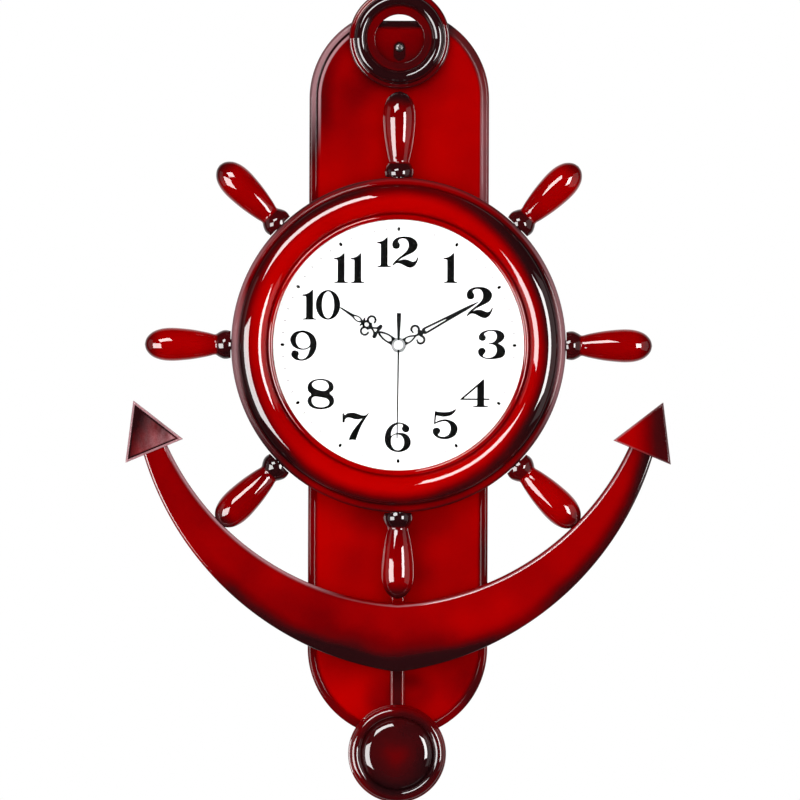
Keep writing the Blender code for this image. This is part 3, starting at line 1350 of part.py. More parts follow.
def hour_hand_outline():
    """Outline in hundredths of the hand's length, with its four openings."""
    unit = HOUR_HAND_LENGTH / 100
    hook_x, hook_z, outer, inner = 9.4, 51.7, 6.7, 4.3
    half = arc(0.0, 0.0, HOUR_HUB_RADIUS / unit, -90.0, 60.0, 5)
    half += [(6.0, 16.6), (5.4, 23.5), (3.7, 30.3), (1.86, 34.4), (9.8, 33.9), (10.8, 37.4), (5.1, 39.5),
             (2.15, 45.4)]
    half += arc(hook_x, hook_z, inner, 215.0, -105.0, 6)
    half += arc(hook_x, hook_z, outer, -105.0, 120.0, 5)
    half += [(3.7, 59.3), (7.6, 62.0), (2.0, 62.8), (3.9, 66.9), (3.9, 71.2), (2.3, 76.9), (1.1, 98.4),
             (0.0, 100.0)]
    leaf = mirrored([(0.0, 12.1), (3.3, 14.1), (4.1, 17.6), (3.3, 24.7), (0.0, 32.1)])
    heart = mirrored([(0.0, 37.0), (2.9, 38.4), (0.0, 43.8)])
    ring = circle(3.1, 8, 0.0, 54.4)
    small_leaf = mirrored([(0.0, 65.0), (2.3, 67.7), (2.2, 71.0), (0.0, 75.0)])
    hole = circle(HOUR_PIPE_RADIUS + SEAT, 14)
    return [scaled(mirrored(half), unit), scaled(leaf, unit), scaled(heart, unit), scaled(ring, unit),
            scaled(small_leaf, unit), hole]


def second_hand_outline():
    """A thin pointer with a hub under its cap and a tail that widens."""
    unit = SECOND_HAND_LENGTH / 100
    tail = SECOND_TAIL_LENGTH / unit
    half = [(2.4, -tail), (1.1, -4.7)]
    half += arc(0.0, 0.0, 4.7, -70.0, 75.0, 5)
    half += [(1.0, 5.9), (0.66, 100.0)]
    return [scaled(mirrored(half), unit)]


def make_hand(name, outline, depth, turn, finish):
    hand = outline_solid(name, outline, depth, depth + HAND_THICKNESS)
    hand.rotation_euler = (math.pi / 2, math.radians(turn), 0.0)
    hand.rotation_mode = "XYZ"
    return keep(hand, finish)


def make_hands():
    make_hand("hour_hand", hour_hand_outline(), HOUR_HAND_DEPTH, HOUR_HAND_TURN, "black_hand")
    make_hand("minute_hand", minute_hand_outline(), MINUTE_HAND_DEPTH, MINUTE_HAND_TURN, "black_hand")
    second = make_hand("second_hand", second_hand_outline(), SECOND_HAND_DEPTH, SECOND_HAND_TURN, "black_hand")
    cap_front = GLASS_BACK - SEAT - 0.1 * MM
    cap_back = SECOND_HAND_DEPTH + HAND_THICKNESS / 2
    bore_end = SECOND_HAND_DEPTH + HAND_THICKNESS + SEAT
    profile = [
        (0.0, cap_front),
        (SECOND_CAP_RADIUS * 0.7, cap_front),
        (SECOND_CAP_RADIUS, cap_front - 0.4 * MM),
        (SECOND_CAP_RADIUS, cap_back),
        (0.0, cap_back),
    ]
    join(second, turned("second_cap", profile, 12))
    cut(second, cylinder("second_bore", CANNON_BORE, 0.0, bore_end))


# Pendulum, drawn hanging straight down

def make_pendulum():
    pivot_z = DIAL_Z - PIVOT_BELOW_DIAL
    axis = empty("pendulum_axis", 0.0, HANGER_ARM_BACK, pivot_z)
    arm_front = HANGER_ARM_BACK + HANGER_ARM_THICKNESS
    pieces = []

    width = HANGER_ARM_HALF_WIDTH
    outline = arc(0.0, 0.0, width, 0.0, 180.0, 8) + [(-width, -SLEEVE_TOP - SEAT), (width, -SLEEVE_TOP - SEAT)]
    hanger = outline_solid("pendulum_hanger", [outline], HANGER_ARM_BACK, arm_front, z=pivot_z)
    sleeve_back = ROD_BACK - 2 * SEAT
    sleeve_front = ROD_BACK + ROD_THICKNESS + 2 * SEAT
    join(hanger, block("hanger_sleeve", -SLEEVE_HALF_WIDTH, SLEEVE_HALF_WIDTH, sleeve_back, sleeve_front,
                       -SLEEVE_TOP - SLEEVE_LENGTH, -SLEEVE_TOP, z=pivot_z))
    tongue_back, tongue_front = tongue_depths()
    cut(hanger, block("sleeve_slot", -TONGUE_HALF_WIDTH - SEAT, TONGUE_HALF_WIDTH + SEAT, tongue_back - SEAT,
                      tongue_front + SEAT, -SLEEVE_TOP - SLEEVE_LENGTH - SEAT,
                      -SLEEVE_TOP - SLEEVE_LENGTH + TONGUE_LENGTH + 2 * SEAT, z=pivot_z))
    cut(hanger, cylinder("hanger_bore", PIVOT_BORE, 0.0, DIAL_BACK, 0.0, pivot_z))
    pieces.append(keep(hanger, "white_plastic"))

    magnet = cylinder("hanger_magnet", DISC_MAGNET_RADIUS, arm_front + SEAT, arm_front + SEAT
                      + DISC_MAGNET_LENGTH, 0.0, pivot_z - MAGNET_DROP, 16)
    pieces.append(keep(smooth(magnet), "steel"))

    rod = rod_solid(pivot_z)
    pieces.append(keep(rod, "dark_lacquer"))
    for bob in make_bob():
        pieces.append(bob)
    bpy.context.view_layer.update()
    for piece in pieces:
        carry(axis, piece)


def tongue_depths():
    """The rod's tongue is a little thinner than the rod, in the middle of it."""
    return ROD_BACK + 0.3 * MM, ROD_BACK + ROD_THICKNESS - 0.3 * MM


def rod_solid(pivot_z):
    """A flat bar with its two front edges bevelled, and a tongue that slides up into the hanger."""
    front = ROD_BACK + ROD_THICKNESS
    half = ROD_HALF_WIDTH
    outline = [
        (-half, ROD_BACK),
        (half, ROD_BACK),
        (half, ROD_BACK + ROD_THICKNESS / 2),
        (half - ROD_BEVEL, front),
        (-half + ROD_BEVEL, front),
        (-half, ROD_BACK + ROD_THICKNESS / 2),
    ]
    shoulder = -SLEEVE_TOP - SLEEVE_LENGTH - SEAT
    bm = prism_x_depth("pendulum_rod", outline, rod_end(), shoulder)
    rod = mesh_object("pendulum_rod", bm, 0.0, 0.0, pivot_z)
    tongue_back, tongue_front = tongue_depths()
    join(rod, block("rod_tongue", -TONGUE_HALF_WIDTH, TONGUE_HALF_WIDTH, tongue_back, tongue_front,
                    shoulder - TONGUE_LENGTH / 2, shoulder + TONGUE_LENGTH, z=pivot_z))
    return rod


def rod_end():
    """The rod runs down to a little past the bob's middle."""
    return -(BOB_BELOW_DIAL - PIVOT_BELOW_DIAL) - 2 * ROD_HALF_WIDTH


def make_bob():
    bob_z = DIAL_Z - BOB_BELOW_DIAL
    back = BOB_PLATE_FRONT + SEAT
    torus_radius = (BOB_RADIUS - 1.6 * MM + BOB_DOME_RADIUS) / 2 + 0.2 * MM
    torus_depth = back + 4.2 * MM
    dome = BOB_DOME_RADIUS
    front = BOB_DOME_FRONT
    edge = torus_depth + 0.6 * MM
    rise = front - edge
    profile = [(0.0, front), (dome * 0.38, front - rise * 0.1), (dome * 0.7, front - rise * 0.34),
               (dome * 0.92, front - rise * 0.7), (dome, edge)]
    profile += arc(torus_radius, torus_depth, BOB_TORUS_SIZE, 145.0, 10.0, 4)
    profile += [
        (BOB_RADIUS - 0.9 * MM, torus_depth - 0.6 * MM),
        (BOB_RADIUS, torus_depth - 1.8 * MM),
        (BOB_RADIUS, back),
        (BOB_RADIUS - BOB_SKIN, back),
        (torus_radius, torus_depth + BOB_TORUS_SIZE - BOB_SKIN),
        (dome - BOB_SKIN, edge - BOB_SKIN),
        (dome * 0.5, front - rise * 0.25 - BOB_SKIN),
        (0.0, front - BOB_SKIN),
    ]
    shell = keep(turned("bob_front", profile, BOB_SEGMENTS, z=bob_z), "dark_lacquer")

    plate = turned("bob_back", [(0.0, BOB_PLATE_FRONT), (BOB_PLATE_RADIUS, BOB_PLATE_FRONT),
                                (BOB_PLATE_RADIUS, BOB_PLATE_BACK), (0.0, BOB_PLATE_BACK)],
                   BOB_SEGMENTS, z=bob_z)
    channel_bottom = -2 * ROD_HALF_WIDTH - SEAT
    cut(plate, block("rod_channel", -ROD_HALF_WIDTH - SEAT, ROD_HALF_WIDTH + SEAT, BOB_PLATE_BACK - SEAT,
                     BOB_PLATE_FRONT + SEAT, channel_bottom, BOB_RADIUS, z=bob_z))
    keep(plate, "dark_lacquer")
    return [shell, plate]


def make_pendulum_drive():
    """The pin that the hanger swings on, and the coil that its magnet swings past."""
    pivot_z = DIAL_Z - PIVOT_BELOW_DIAL
    head_front = HANGER_ARM_BACK - SEAT
    head_back = head_front - 0.8 * MM
    profile = [
        (0.0, DRIVE_BOX_BACK + 3 * MOVEMENT_WALL),
        (PIVOT_PIN_RADIUS, DRIVE_BOX_BACK + 3 * MOVEMENT_WALL),
        (PIVOT_PIN_RADIUS, head_front),
        (2 * PIVOT_PIN_RADIUS, head_front),
        (2 * PIVOT_PIN_RADIUS, head_back),
        (0.0, head_back),
    ]
    keep(turned("pivot_pin", profile, PIN_SEGMENTS, z=pivot_z), "steel")
    coil_back = DRIVE_BOX_BACK + 2 * SEAT
    coil = turned("drive_coil", [(DRIVE_COIL_RADIUS, MOVEMENT_FRONT - MOVEMENT_WALL - SEAT),
                                 (DRIVE_COIL_RADIUS, coil_back),
                                 (2.0 * MM, coil_back),
                                 (2.0 * MM, MOVEMENT_FRONT - MOVEMENT_WALL - SEAT)],
                  16, closed=True, z=pivot_z - MAGNET_DROP)
    keep(coil, "copper_winding")


def main():
    make_back_board()
    make_hanger_plate()
    make_top_ring()
    make_anchor()
    make_flukes()
    make_wheel_bezel()
    make_handles()
    make_case_back()
    make_dial_and_glass()
    make_movement_base()
    make_movement_fixed_pieces()
    make_gear_train()
    make_battery()
    make_battery_contacts()
    make_hands()
    make_pendulum()
    make_pendulum_drive()
    make_screws()


main()
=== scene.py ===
"""Looks of the ship wheel clock: lacquered wheel, anchor and board, printed dial, hands and pendulum.

Metres, +Z up, the front of the clock faces -Y. Sizes in the tables are millimetres from the wheel's
centre: x to the right, depth out from the wall, z up.
"""

import math

import bpy
from bpy.props import FloatProperty, FloatVectorProperty, IntProperty, PointerProperty
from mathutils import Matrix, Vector


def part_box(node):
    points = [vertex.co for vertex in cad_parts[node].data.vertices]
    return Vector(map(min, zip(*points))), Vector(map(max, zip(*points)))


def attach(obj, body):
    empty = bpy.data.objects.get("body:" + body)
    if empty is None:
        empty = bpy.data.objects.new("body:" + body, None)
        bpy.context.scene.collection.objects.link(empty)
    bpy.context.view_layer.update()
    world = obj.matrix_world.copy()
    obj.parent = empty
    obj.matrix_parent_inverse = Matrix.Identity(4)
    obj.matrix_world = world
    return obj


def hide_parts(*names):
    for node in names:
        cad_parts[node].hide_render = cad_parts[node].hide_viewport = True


bl_info = {
    "name": "Ship wheel clock",
    "version": (1, 0, 0),
    "blender": (4, 5, 0),
    "location": "View3D > Sidebar > Ship Clock",
    "description": "Builds the lacquered pieces, dial, hands and pendulum of a ship wheel clock",
    "category": "Object",
}

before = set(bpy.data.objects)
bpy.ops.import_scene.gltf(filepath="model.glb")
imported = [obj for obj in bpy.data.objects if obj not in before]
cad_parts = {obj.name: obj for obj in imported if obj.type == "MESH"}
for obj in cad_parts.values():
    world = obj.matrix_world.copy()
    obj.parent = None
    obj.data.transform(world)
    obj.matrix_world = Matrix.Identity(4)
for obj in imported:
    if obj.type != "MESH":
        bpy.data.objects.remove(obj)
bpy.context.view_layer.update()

MM = 0.001
DIAL_Z = (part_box("dial")[0].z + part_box("dial")[1].z) / 2
MERGE = 1e-6
SMOOTH_ANGLE = math.radians(32.0)
# How far apart points may lie that count as one, in millimetres
NEAR = 0.01

# Heights and depths that the frame fixes, and the pendulum's swing in degrees
SEAT = 19.8
BOARD_FACE = 18.0
BOARD_HALF_WIDTH = 66.0
BOARD_BOTTOM_ARC = -222.6
BOARD_TOP_ARC = 181.2
BOARD_FLAT_TOP = 238.5
RING_CENTRE = 225.2
BOB_CENTRE = -300.0
PIVOT = -40.0
SWING = 4.0
ROOM_AT_PIVOT = 7.15
HANDLE_DEPTH = 36.2
HANDLE_BASE = 123.1
HANDLE_TIP = 186.2
ANCHOR_FRONT = 43.5
FLUKE_BACK = 24.0
FLUKE_FRONT = 46.5
DIAL_BACK = 37.8
DIAL_FRONT = 38.6
DIAL_RADIUS = 95.5
DIAL_BORE = 4.3
ROD_BACK = 20.6
ROD_FRONT = 23.0
ROD_HALF_WIDTH = 5.15
ROD_BOTTOM = -310.3
ROD_TOP = -78.3
ROD_ROOM = 0.3
WALL = 2.5
ROOT = "case"

# Radius of the screw pocket's round ends, and the heights of their middles
POCKET_RADIUS = 4.1
POCKET_TOP = 218.9
POCKET_LOW = 213.5

# The arrowheads: middle of the base, half its width, height, slanting side and lean
FLUKE_BASE = (179.0, -78.3)
FLUKE_HALF = 22.85
FLUKE_LENGTH = 40.0
FLUKE_SIDE = 46.07
FLUKE_LEAN = math.radians(22.65)
FLUKE_ALONG = (math.sin(FLUKE_LEAN), math.cos(FLUKE_LEAN))
FLUKE_ACROSS = (math.cos(FLUKE_LEAN), -math.sin(FLUKE_LEAN))

# Radius and lowest point of the two arcs that the arms lie between, and how far they reach inside a cap
ARM_INNER = (199.0, -189.8)
ARM_OUTER = (225.9, -239.9)
ARM_INSIDE_FLUKE = 8.0


# Settings

class LacquerSettings(bpy.types.PropertyGroup):
    bright: FloatVectorProperty(name="Bright red", description="Lacquer where no dark paint covers it",
                                subtype="COLOR", default=(0.50, 0.0, 0.0), min=0.0, max=1.0)
    deep: FloatVectorProperty(name="Deep red", description="Lacquer where the dark paint begins",
                              subtype="COLOR", default=(0.17, 0.0, 0.001), min=0.0, max=1.0)
    dark: FloatVectorProperty(name="Dark paint", description="Sprayed edges and beads",
                              subtype="COLOR", default=(0.022, 0.004, 0.005), min=0.0, max=1.0)
    # Pale colour of the painted highlights and painted reflections along edges
    painted_highlight: FloatVectorProperty(name="Painted highlight", description="Pale colour of painted highlights along the lacquer's edges",
                                subtype="COLOR", default=(0.60, 0.31, 0.34), min=0.0, max=1.0)
    ripple: FloatProperty(name="Ripple", description="Height of the lacquer's orange peel",
                          default=0.00002, unit="LENGTH", min=0.0)


class DialSettings(bpy.types.PropertyGroup):
    paper: FloatVectorProperty(name="Paper", description="Colour of the dial", subtype="COLOR",
                               default=(0.94, 0.94, 0.94), min=0.0, max=1.0)
    ink: FloatVectorProperty(name="Ink", description="Colour of numerals and hour dots",
                             subtype="COLOR", default=(0.002, 0.002, 0.002), min=0.0, max=1.0)
    numeral_height: FloatProperty(name="Numeral height", description="Height of the numerals",
                                  default=0.022, unit="LENGTH", min=0.005)
    print_depth: FloatProperty(name="Print thickness", description="How far the print stands up",
                               default=0.00006, unit="LENGTH", min=0.00001)
    mark_radius: FloatProperty(name="Mark circle", description="Radius of the circle of hour dots",
                               default=0.0851, unit="LENGTH", min=0.01)


class StageSettings(bpy.types.PropertyGroup):
    camera_distance: FloatProperty(name="Camera distance", description="From the wall to the camera",
                                   default=11.0, unit="LENGTH", min=1.0)
    lamp_power: FloatProperty(name="Box power", description="Power of the soft boxes per square metre",
                              default=55.0, unit="POWER", min=0.0)
    fill_power: FloatProperty(name="Fill power", description="Power of the fill lamp in front", default=98.0,
                              unit="POWER", min=0.0)
    ambient: FloatProperty(name="Ambient", description="Even light from all round", default=0.36,
                           subtype="FACTOR", min=0.0, max=1.0)
    smoothness: IntProperty(name="Segments", description="Segments round the wheel", default=160, min=24)


# Modelling helpers: each drives Blender's own tools

def place(x, depth, z):
    """A point given in millimetres from the wheel's centre."""
    return Vector((x * MM, -depth * MM, DIAL_Z + z * MM))


def deselect():
    active = bpy.context.view_layer.objects.active
    if active is not None and active.mode != "OBJECT":
        bpy.ops.object.mode_set(mode="OBJECT")
    bpy.ops.object.select_all(action="DESELECT")


def activate(piece):
    deselect()
    piece.select_set(True)
    bpy.context.view_layer.objects.active = piece


def edit_all(piece):
    """Open a piece for editing with all of it selected."""
    activate(piece)
    bpy.ops.object.mode_set(mode="EDIT")
    bpy.ops.mesh.select_all(action="SELECT")


def begin(name):
    """An empty mesh whose object sits at the origin, open for editing."""
    deselect()
    bpy.ops.mesh.primitive_plane_add(size=MM)
    piece = bpy.context.object
    piece.name = piece.data.name = name
    bpy.ops.object.mode_set(mode="EDIT")
    bpy.ops.mesh.select_mode(type="VERT")
    bpy.ops.mesh.select_all(action="SELECT")
    bpy.ops.mesh.delete(type="VERT")
    return piece


def draw_line(points, closed=False):
    """Draw a line through the points by extruding one point along it."""
    bpy.ops.mesh.select_all(action="DESELECT")
    bpy.ops.mesh.primitive_plane_add(size=MM, location=points[0])
    bpy.ops.mesh.merge(type="CENTER")
    route = list(points) + ([points[0]] if closed else [])
    for start, end in zip(route, route[1:]):
        bpy.ops.mesh.extrude_region_move(TRANSFORM_OT_translate={"value": end - start})


def draw_loops(name, loops, depth):
    """A new piece with closed outlines of (x, z) drawn at a depth, all selected."""
    piece = begin(name)
    for loop in loops:
        draw_line([place(x, depth, z) for x, z in loop], closed=True)
    bpy.ops.mesh.select_all(action="SELECT")
    bpy.ops.mesh.remove_doubles(threshold=MERGE)
    return piece


def tidy_mesh():
    bpy.ops.mesh.select_mode(type="VERT")
    bpy.ops.mesh.select_all(action="SELECT")
    bpy.ops.mesh.remove_doubles(threshold=MERGE)
    bpy.ops.mesh.normals_make_consistent(inside=False)


def smooth(piece):
    """Smooth all but the sharp edges."""
    activate(piece)
    bpy.ops.object.shade_smooth_by_angle(angle=SMOOTH_ANGLE)


def close_mesh(piece):
    """Merge seams, turn the faces outwards and smooth the piece."""
    tidy_mesh()
    smooth(piece)
    return piece


def pick(kind, test):
    """Select the vertices, edges or faces that pass a test of their corner points."""
    bpy.ops.mesh.select_all(action="DESELECT")
    bpy.ops.mesh.select_mode(type=kind)
    bpy.ops.object.mode_set(mode="OBJECT")
    mesh = bpy.context.object.data
    points = [vertex.co for vertex in mesh.vertices]
    for element in {"VERT": mesh.vertices, "EDGE": mesh.edges, "FACE": mesh.polygons}[kind]:
        corners = [element.index] if kind == "VERT" else element.vertices
        element.select = test([points[i] for i in corners])
    bpy.ops.object.mode_set(mode="EDIT")


def at_depth(depth):
    """A test that all corners lie at one depth."""
    return lambda corners: all(abs(-corner.y / MM - depth) < NEAR for corner in corners)


def push(depth_change):
    """Extrude what is selected towards the front."""
    bpy.ops.mesh.extrude_region_move(TRANSFORM_OT_translate={"value": (0.0, -depth_change * MM, 0.0)})


def bevel(test, width, segments, profile=0.5, clamp=False):
    """Round the edges that pass a test."""
    pick("EDGE", test)
    bpy.ops.mesh.bevel(offset=width * MM, segments=segments, profile=profile, affect="EDGES",
                       clamp_overlap=clamp)


def hollow(back, front):
    """Hollow a piece from its back, and leave a wall round it and in front."""
    pick("FACE", at_depth(back))
    bpy.ops.mesh.inset(thickness=WALL * MM)
    push(front - WALL - back)


def turned(name, points, segments, centre, axis, closed=False):
    """Spin a line through points once round."""
    piece = begin(name)
    draw_line(points, closed)
    bpy.ops.mesh.select_all(action="SELECT")
    bpy.ops.mesh.spin(steps=segments, angle=2 * math.pi, center=centre, axis=axis)
    return close_mesh(piece)


def lathe(name, profile, segments, z=0.0, x=0.0):
    """Spin a profile of (radius, depth) about a line square to the wall.

    A profile that starts on that line stays open, and any other is closed.
    """
    points = [place(x + radius, depth, z) for radius, depth in profile]
    return turned(name, points, segments, place(x, 0.0, z), (0.0, 1.0, 0.0), closed=profile[0][0] > 0.0)


def disc(name, radius, back, front, edge, segments, z=0.0, bore=0.0):
    """A round plate with bevelled edges, or a washer if it has a bore."""
    profile = [(bore, back), (radius - edge, back), (radius, back + edge), (radius, front - edge),
               (radius - edge, front), (bore, front)]
    return lathe(name, profile, segments, z)


def block(name, outline, back, front):
    """A solid with the outline given, still in edit mode."""
    piece = draw_loops(name, [outline], back)
    bpy.ops.mesh.edge_face_add()
    push(front - back)
    tidy_mesh()
    return piece


def slab(name, loops, back, front):
    """A flat piece with holes: outlines drawn, filled between and extruded to the front."""
    piece = draw_loops(name, loops, back)
    bpy.ops.mesh.fill(use_beauty=True)
    bpy.ops.mesh.select_all(action="SELECT")
    push(front - back)
    return close_mesh(piece)


def box(name, left, right, back, front, bottom, top):
    """A block between six planes."""
    corners = [(left, bottom), (right, bottom), (right, top), (left, top)]
    return close_mesh(block(name, corners, back, front))


def apply_modifier(piece, kind, **settings):
    activate(piece)
    bpy.ops.object.modifier_add(type=kind)
    modifier = piece.modifiers[-1]
    for key, value in settings.items():
        setattr(modifier, key, value)
    bpy.ops.object.modifier_apply(modifier=modifier.name)


def combine(piece, tools, operation):
    """Cut the tools out of a piece, or weld them to it."""
    for tool in tools:
        apply_modifier(piece, "BOOLEAN", operation=operation, solver="EXACT", object=tool)
        bpy.data.objects.remove(tool, do_unlink=True)
    smooth(piece)


def soften(piece, width, angle):
    """Round the edges that are sharper than an angle."""
    apply_modifier(piece, "BEVEL", width=width * MM, segments=2, limit_method="ANGLE",
                   angle_limit=math.radians(angle), harden_normals=False)
    smooth(piece)


def copy_of(piece, name):
    """A copy with its own mesh, left active."""
    activate(piece)
    bpy.ops.object.duplicate(linked=False)
    made = bpy.context.object
    made.name = made.data.name = name
    return made


def move_mesh(piece, offset):
    edit_all(piece)
    bpy.ops.transform.translate(value=offset)
    bpy.ops.object.mode_set(mode="OBJECT")


def turn_mesh(piece, degrees, axis="Y"):
    """Turn a piece about the middle of the wheel."""
    edit_all(piece)
    bpy.ops.transform.rotate(value=math.radians(degrees), orient_axis=axis, orient_type="GLOBAL",
                             center_override=place(0.0, 0.0, 0.0))
    bpy.ops.object.mode_set(mode="OBJECT")


def dress(piece, look):
    piece.data.materials.clear()
    piece.data.materials.append(look)


def mount(piece, body, slot, look, *nodes):
    """Give a piece its finish, its body and the frame's pieces that it stands for."""
    dress(piece, look)
    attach(piece, body)
    if nodes:
        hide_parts(*nodes)


# Outlines in the plane of the dial

def arc(x, z, radius, start, end, count):
    points = []
    for i in range(count + 1):
        angle = math.radians(start + (end - start) * i / count)
        points.append((x + radius * math.cos(angle), z + radius * math.sin(angle)))
    return points


def oval(x, z, half_width, half_height, count):
    return [(x + half_width * math.cos(2 * math.pi * i / count),
             z + half_height * math.sin(2 * math.pi * i / count)) for i in range(count)]


def mirrored(half):
    left = [(-x, z) for x, z in reversed(half) if abs(x) > 1e-4]
    return list(half) + left


def bend(points, steps=4, closed=False):
    """A smooth curve through points. A point with a third value is a corner."""
    count = len(points)
    bent = []
    for i in range(count if closed else count - 1):
        start, end = points[i], points[(i + 1) % count]
        before = points[i - 1] if len(start) == 2 and (closed or i > 0) else start
        after = points[(i + 2) % count] if len(end) == 2 and (closed or i + 2 < count) else end
        for step in range(steps):
            t = step / steps
            bent.append(tuple(
                0.5 * (2 * start[k] + (end[k] - before[k]) * t
                       + (2 * before[k] - 5 * start[k] + 4 * end[k] - after[k]) * t * t
                       + (3 * start[k] - before[k] - 3 * end[k] + after[k]) * t ** 3)
                for k in (0, 1)))
    return bent if closed else bent + [tuple(points[-1][:2])]


# Material helpers

class Value:
    """A number or colour of the shader that Python's signs work on, each with a node of its own."""

    def __init__(self, nodes, socket):
        self.nodes, self.socket = nodes, socket

    def __add__(self, other):
        return self.nodes.maths("ADD", self, other)

    def __sub__(self, other):
        return self.nodes.maths("SUBTRACT", self, other)

    def __rsub__(self, other):
        return self.nodes.maths("SUBTRACT", other, self)

    def __mul__(self, other):
        return self.nodes.maths("MULTIPLY", self, other)

    def __abs__(self):
        return self.nodes.maths("ABSOLUTE", self)

    __radd__ = __add__

    def fade(self, start, end, low=0.0, high=1.0):
        """Go smoothly from low to high as the value goes from start to end."""
        return self.nodes.node("ShaderNodeMapRange", {
            "Value": self, "From Min": start, "From Max": end, "To Min": low, "To Max": high},
            output="Result", interpolation_type="SMOOTHSTEP")

    def band(self, start, full, last, end, high=1.0, low=0.0):
        """Rise from zero between the first two values, and go from high to low between the last two."""
        return self.fade(start, full) * self.fade(last, end, high, low)


class Nodes:
    """A tree of shader nodes."""

    def __init__(self, tree):
        self.tree = tree

    def node(self, kind, inputs=None, output=0, **settings):
        """Add a node with these settings and inputs, and give one of its outputs."""
        made = self.tree.nodes.new(kind)
        for key, value in settings.items():
            setattr(made, key, value)
        for key, value in (inputs or {}).items():
            self.put(made.inputs[key], value)
        return Value(self, made.outputs[output])

    def put(self, socket, value):
        if isinstance(value, Value):
            self.tree.links.new(value.socket, socket)
        else:
            socket.default_value = (*value, 1.0) if socket.type == "RGBA" else value

    def maths(self, operation, first, second=0.0):
        return self.node("ShaderNodeMath", {0: first, 1: second}, operation=operation)

    def larger(self, first, second):
        return self.maths("MAXIMUM", first, second)

    def mix(self, share, first, second):
        return self.node("ShaderNodeMix", {0: share, 2: first, 3: second})


class Finish(Nodes):
    """A material with the nodes that give it its pattern."""

    def __init__(self, name):
        self.material = bpy.data.materials.new(name)
        self.material.use_nodes = True
        super().__init__(self.material.node_tree)
        self.shader = self.tree.nodes["Principled BSDF"]
        self.coordinates = self.node("ShaderNodeTexCoord", output="Object")
        split = self.node("ShaderNodeSeparateXYZ", {0: self.coordinates}).socket.node
        self.x, self.y, up = (Value(self, socket) for socket in split.outputs)
        self.z = up - DIAL_Z

    def length(self, across, up):
        return self.maths("SQRT", across * across + up * up)

    def reach(self, x, z, both_sides=False):
        """Distance from a point of the dial's plane in millimetres, or from its mirror image too."""
        across = abs(self.x) if both_sides else self.x
        return self.length(across - x * MM, self.z - z * MM)

    def from_line(self, middle, half):
        """Distance from an upright line in the clock's middle, by its middle height and half length."""
        return self.length(self.x, self.larger(abs(self.z - middle * MM) - half * MM, 0.0))

    def in_front(self, depth):
        """One in front of a depth given in millimetres, and zero behind it."""
        return (self.y * -1.0).fade((depth - 0.6) * MM, depth * MM)

    def noise(self, scale, detail=3.0, stretch=(1.0, 1.0, 1.0)):
        mapping = self.node("ShaderNodeMapping", {"Vector": self.coordinates, "Scale": stretch})
        return self.node("ShaderNodeTexNoise", {"Vector": mapping, "Scale": scale, "Detail": detail})

    def ramp(self, value, stops):
        made = self.node("ShaderNodeValToRGB", {0: value}, output="Color")
        elements = made.socket.node.color_ramp.elements
        while len(elements) < len(stops):
            elements.new(0.5)
        for element, (position, colour) in zip(elements, stops):
            element.position = position
            element.color = (*colour, 1.0)
        return made

    def blend(self, share, first, second):
        return self.node("ShaderNodeMix", {0: share, 6: first, 7: second}, output=2, data_type="RGBA")

    def relief(self, height, distance):
        return self.node("ShaderNodeBump", {"Height": height, "Distance": distance, "Strength": 1.0},
                         output="Normal")

    def set(self, **sockets):
        for name, value in sockets.items():
            self.put(self.shader.inputs[name.replace("_", " ")], value)

    def cover(self, colour, pattern, low, high, **more):
        """Set the colour, a roughness that goes from low to high with a pattern, and what else is given."""
        self.set(Base_Color=colour, Roughness=pattern.fade(0.2, 0.8, low, high), **more)
        return self.material


def tinted(colour, share):
    return tuple(part * share for part in colour)


# How dark the lacquer is where no spray reached, behind the gloss depth
BACK_DARKNESS = 0.45


def lacquer(name, darkness, edge=None, gloss_depth=0.0, gloss=None):
    """Red lacquer, sprayed dark where one function says, with pale painted highlights and painted reflections
    where another does.

    It was sprayed from the front, so it is full and glossy in front of the depth given only.
    """
    settings = bpy.context.scene.clock_lacquer
    finish = Finish(name)
    mottle = finish.noise(13.0, 4.0)
    spray = finish.noise(700.0, 2.0)
    front = finish.in_front(gloss_depth)
    dark = darkness(finish) + mottle.fade(0.3, 0.7, -0.14, 0.15)
    if gloss_depth:
        dark = finish.mix(front, BACK_DARKNESS, dark)
    dark = dark + spray.fade(0.3, 0.7, -0.012, 0.012)
    bright, deep, black = tuple(settings.bright), tuple(settings.deep), tuple(settings.dark)
    middle = tuple(0.45 * a + 0.55 * b for a, b in zip(bright, deep))
    low = tuple(0.3 * a + 0.7 * b for a, b in zip(deep, black))
    colour = finish.ramp(dark, [(0.0, bright), (0.35, middle), (0.6, deep), (0.8, low), (1.0, black)])
    # Painted highlights and painted reflections along edges, in the pale highlight colour
    if edge:
        colour = finish.blend(edge(finish), colour, tuple(settings.painted_highlight))
    normal = finish.relief(finish.noise(190.0, 2.0) + spray * 0.12, settings.ripple)
    coat = front.fade(0.0, 1.0, 0.10, 1.0)
    if gloss:
        coat = coat * gloss(finish)
    return finish.cover(colour, mottle, 0.28, 0.4, Normal=normal, Coat_Normal=normal, Coat_Weight=coat,
                        Coat_Roughness=0.025, Coat_IOR=1.6, Specular_IOR_Level=0.0)


def moulding(name, colour, roughness=0.45, grain=0.00003, spread=0.12):
    """Moulded plastic with a fine spark-eroded grain."""
    finish = Finish(name)
    cloud = finish.noise(45.0, 4.0)
    height = finish.noise(2200.0, 2.0) + cloud * 0.4
    colours = finish.blend(cloud, tinted(colour, 1 - spread), tinted(colour, 1 + spread))
    return finish.cover(colours, cloud, roughness - 0.07, roughness + 0.07,
                        Normal=finish.relief(height, grain))


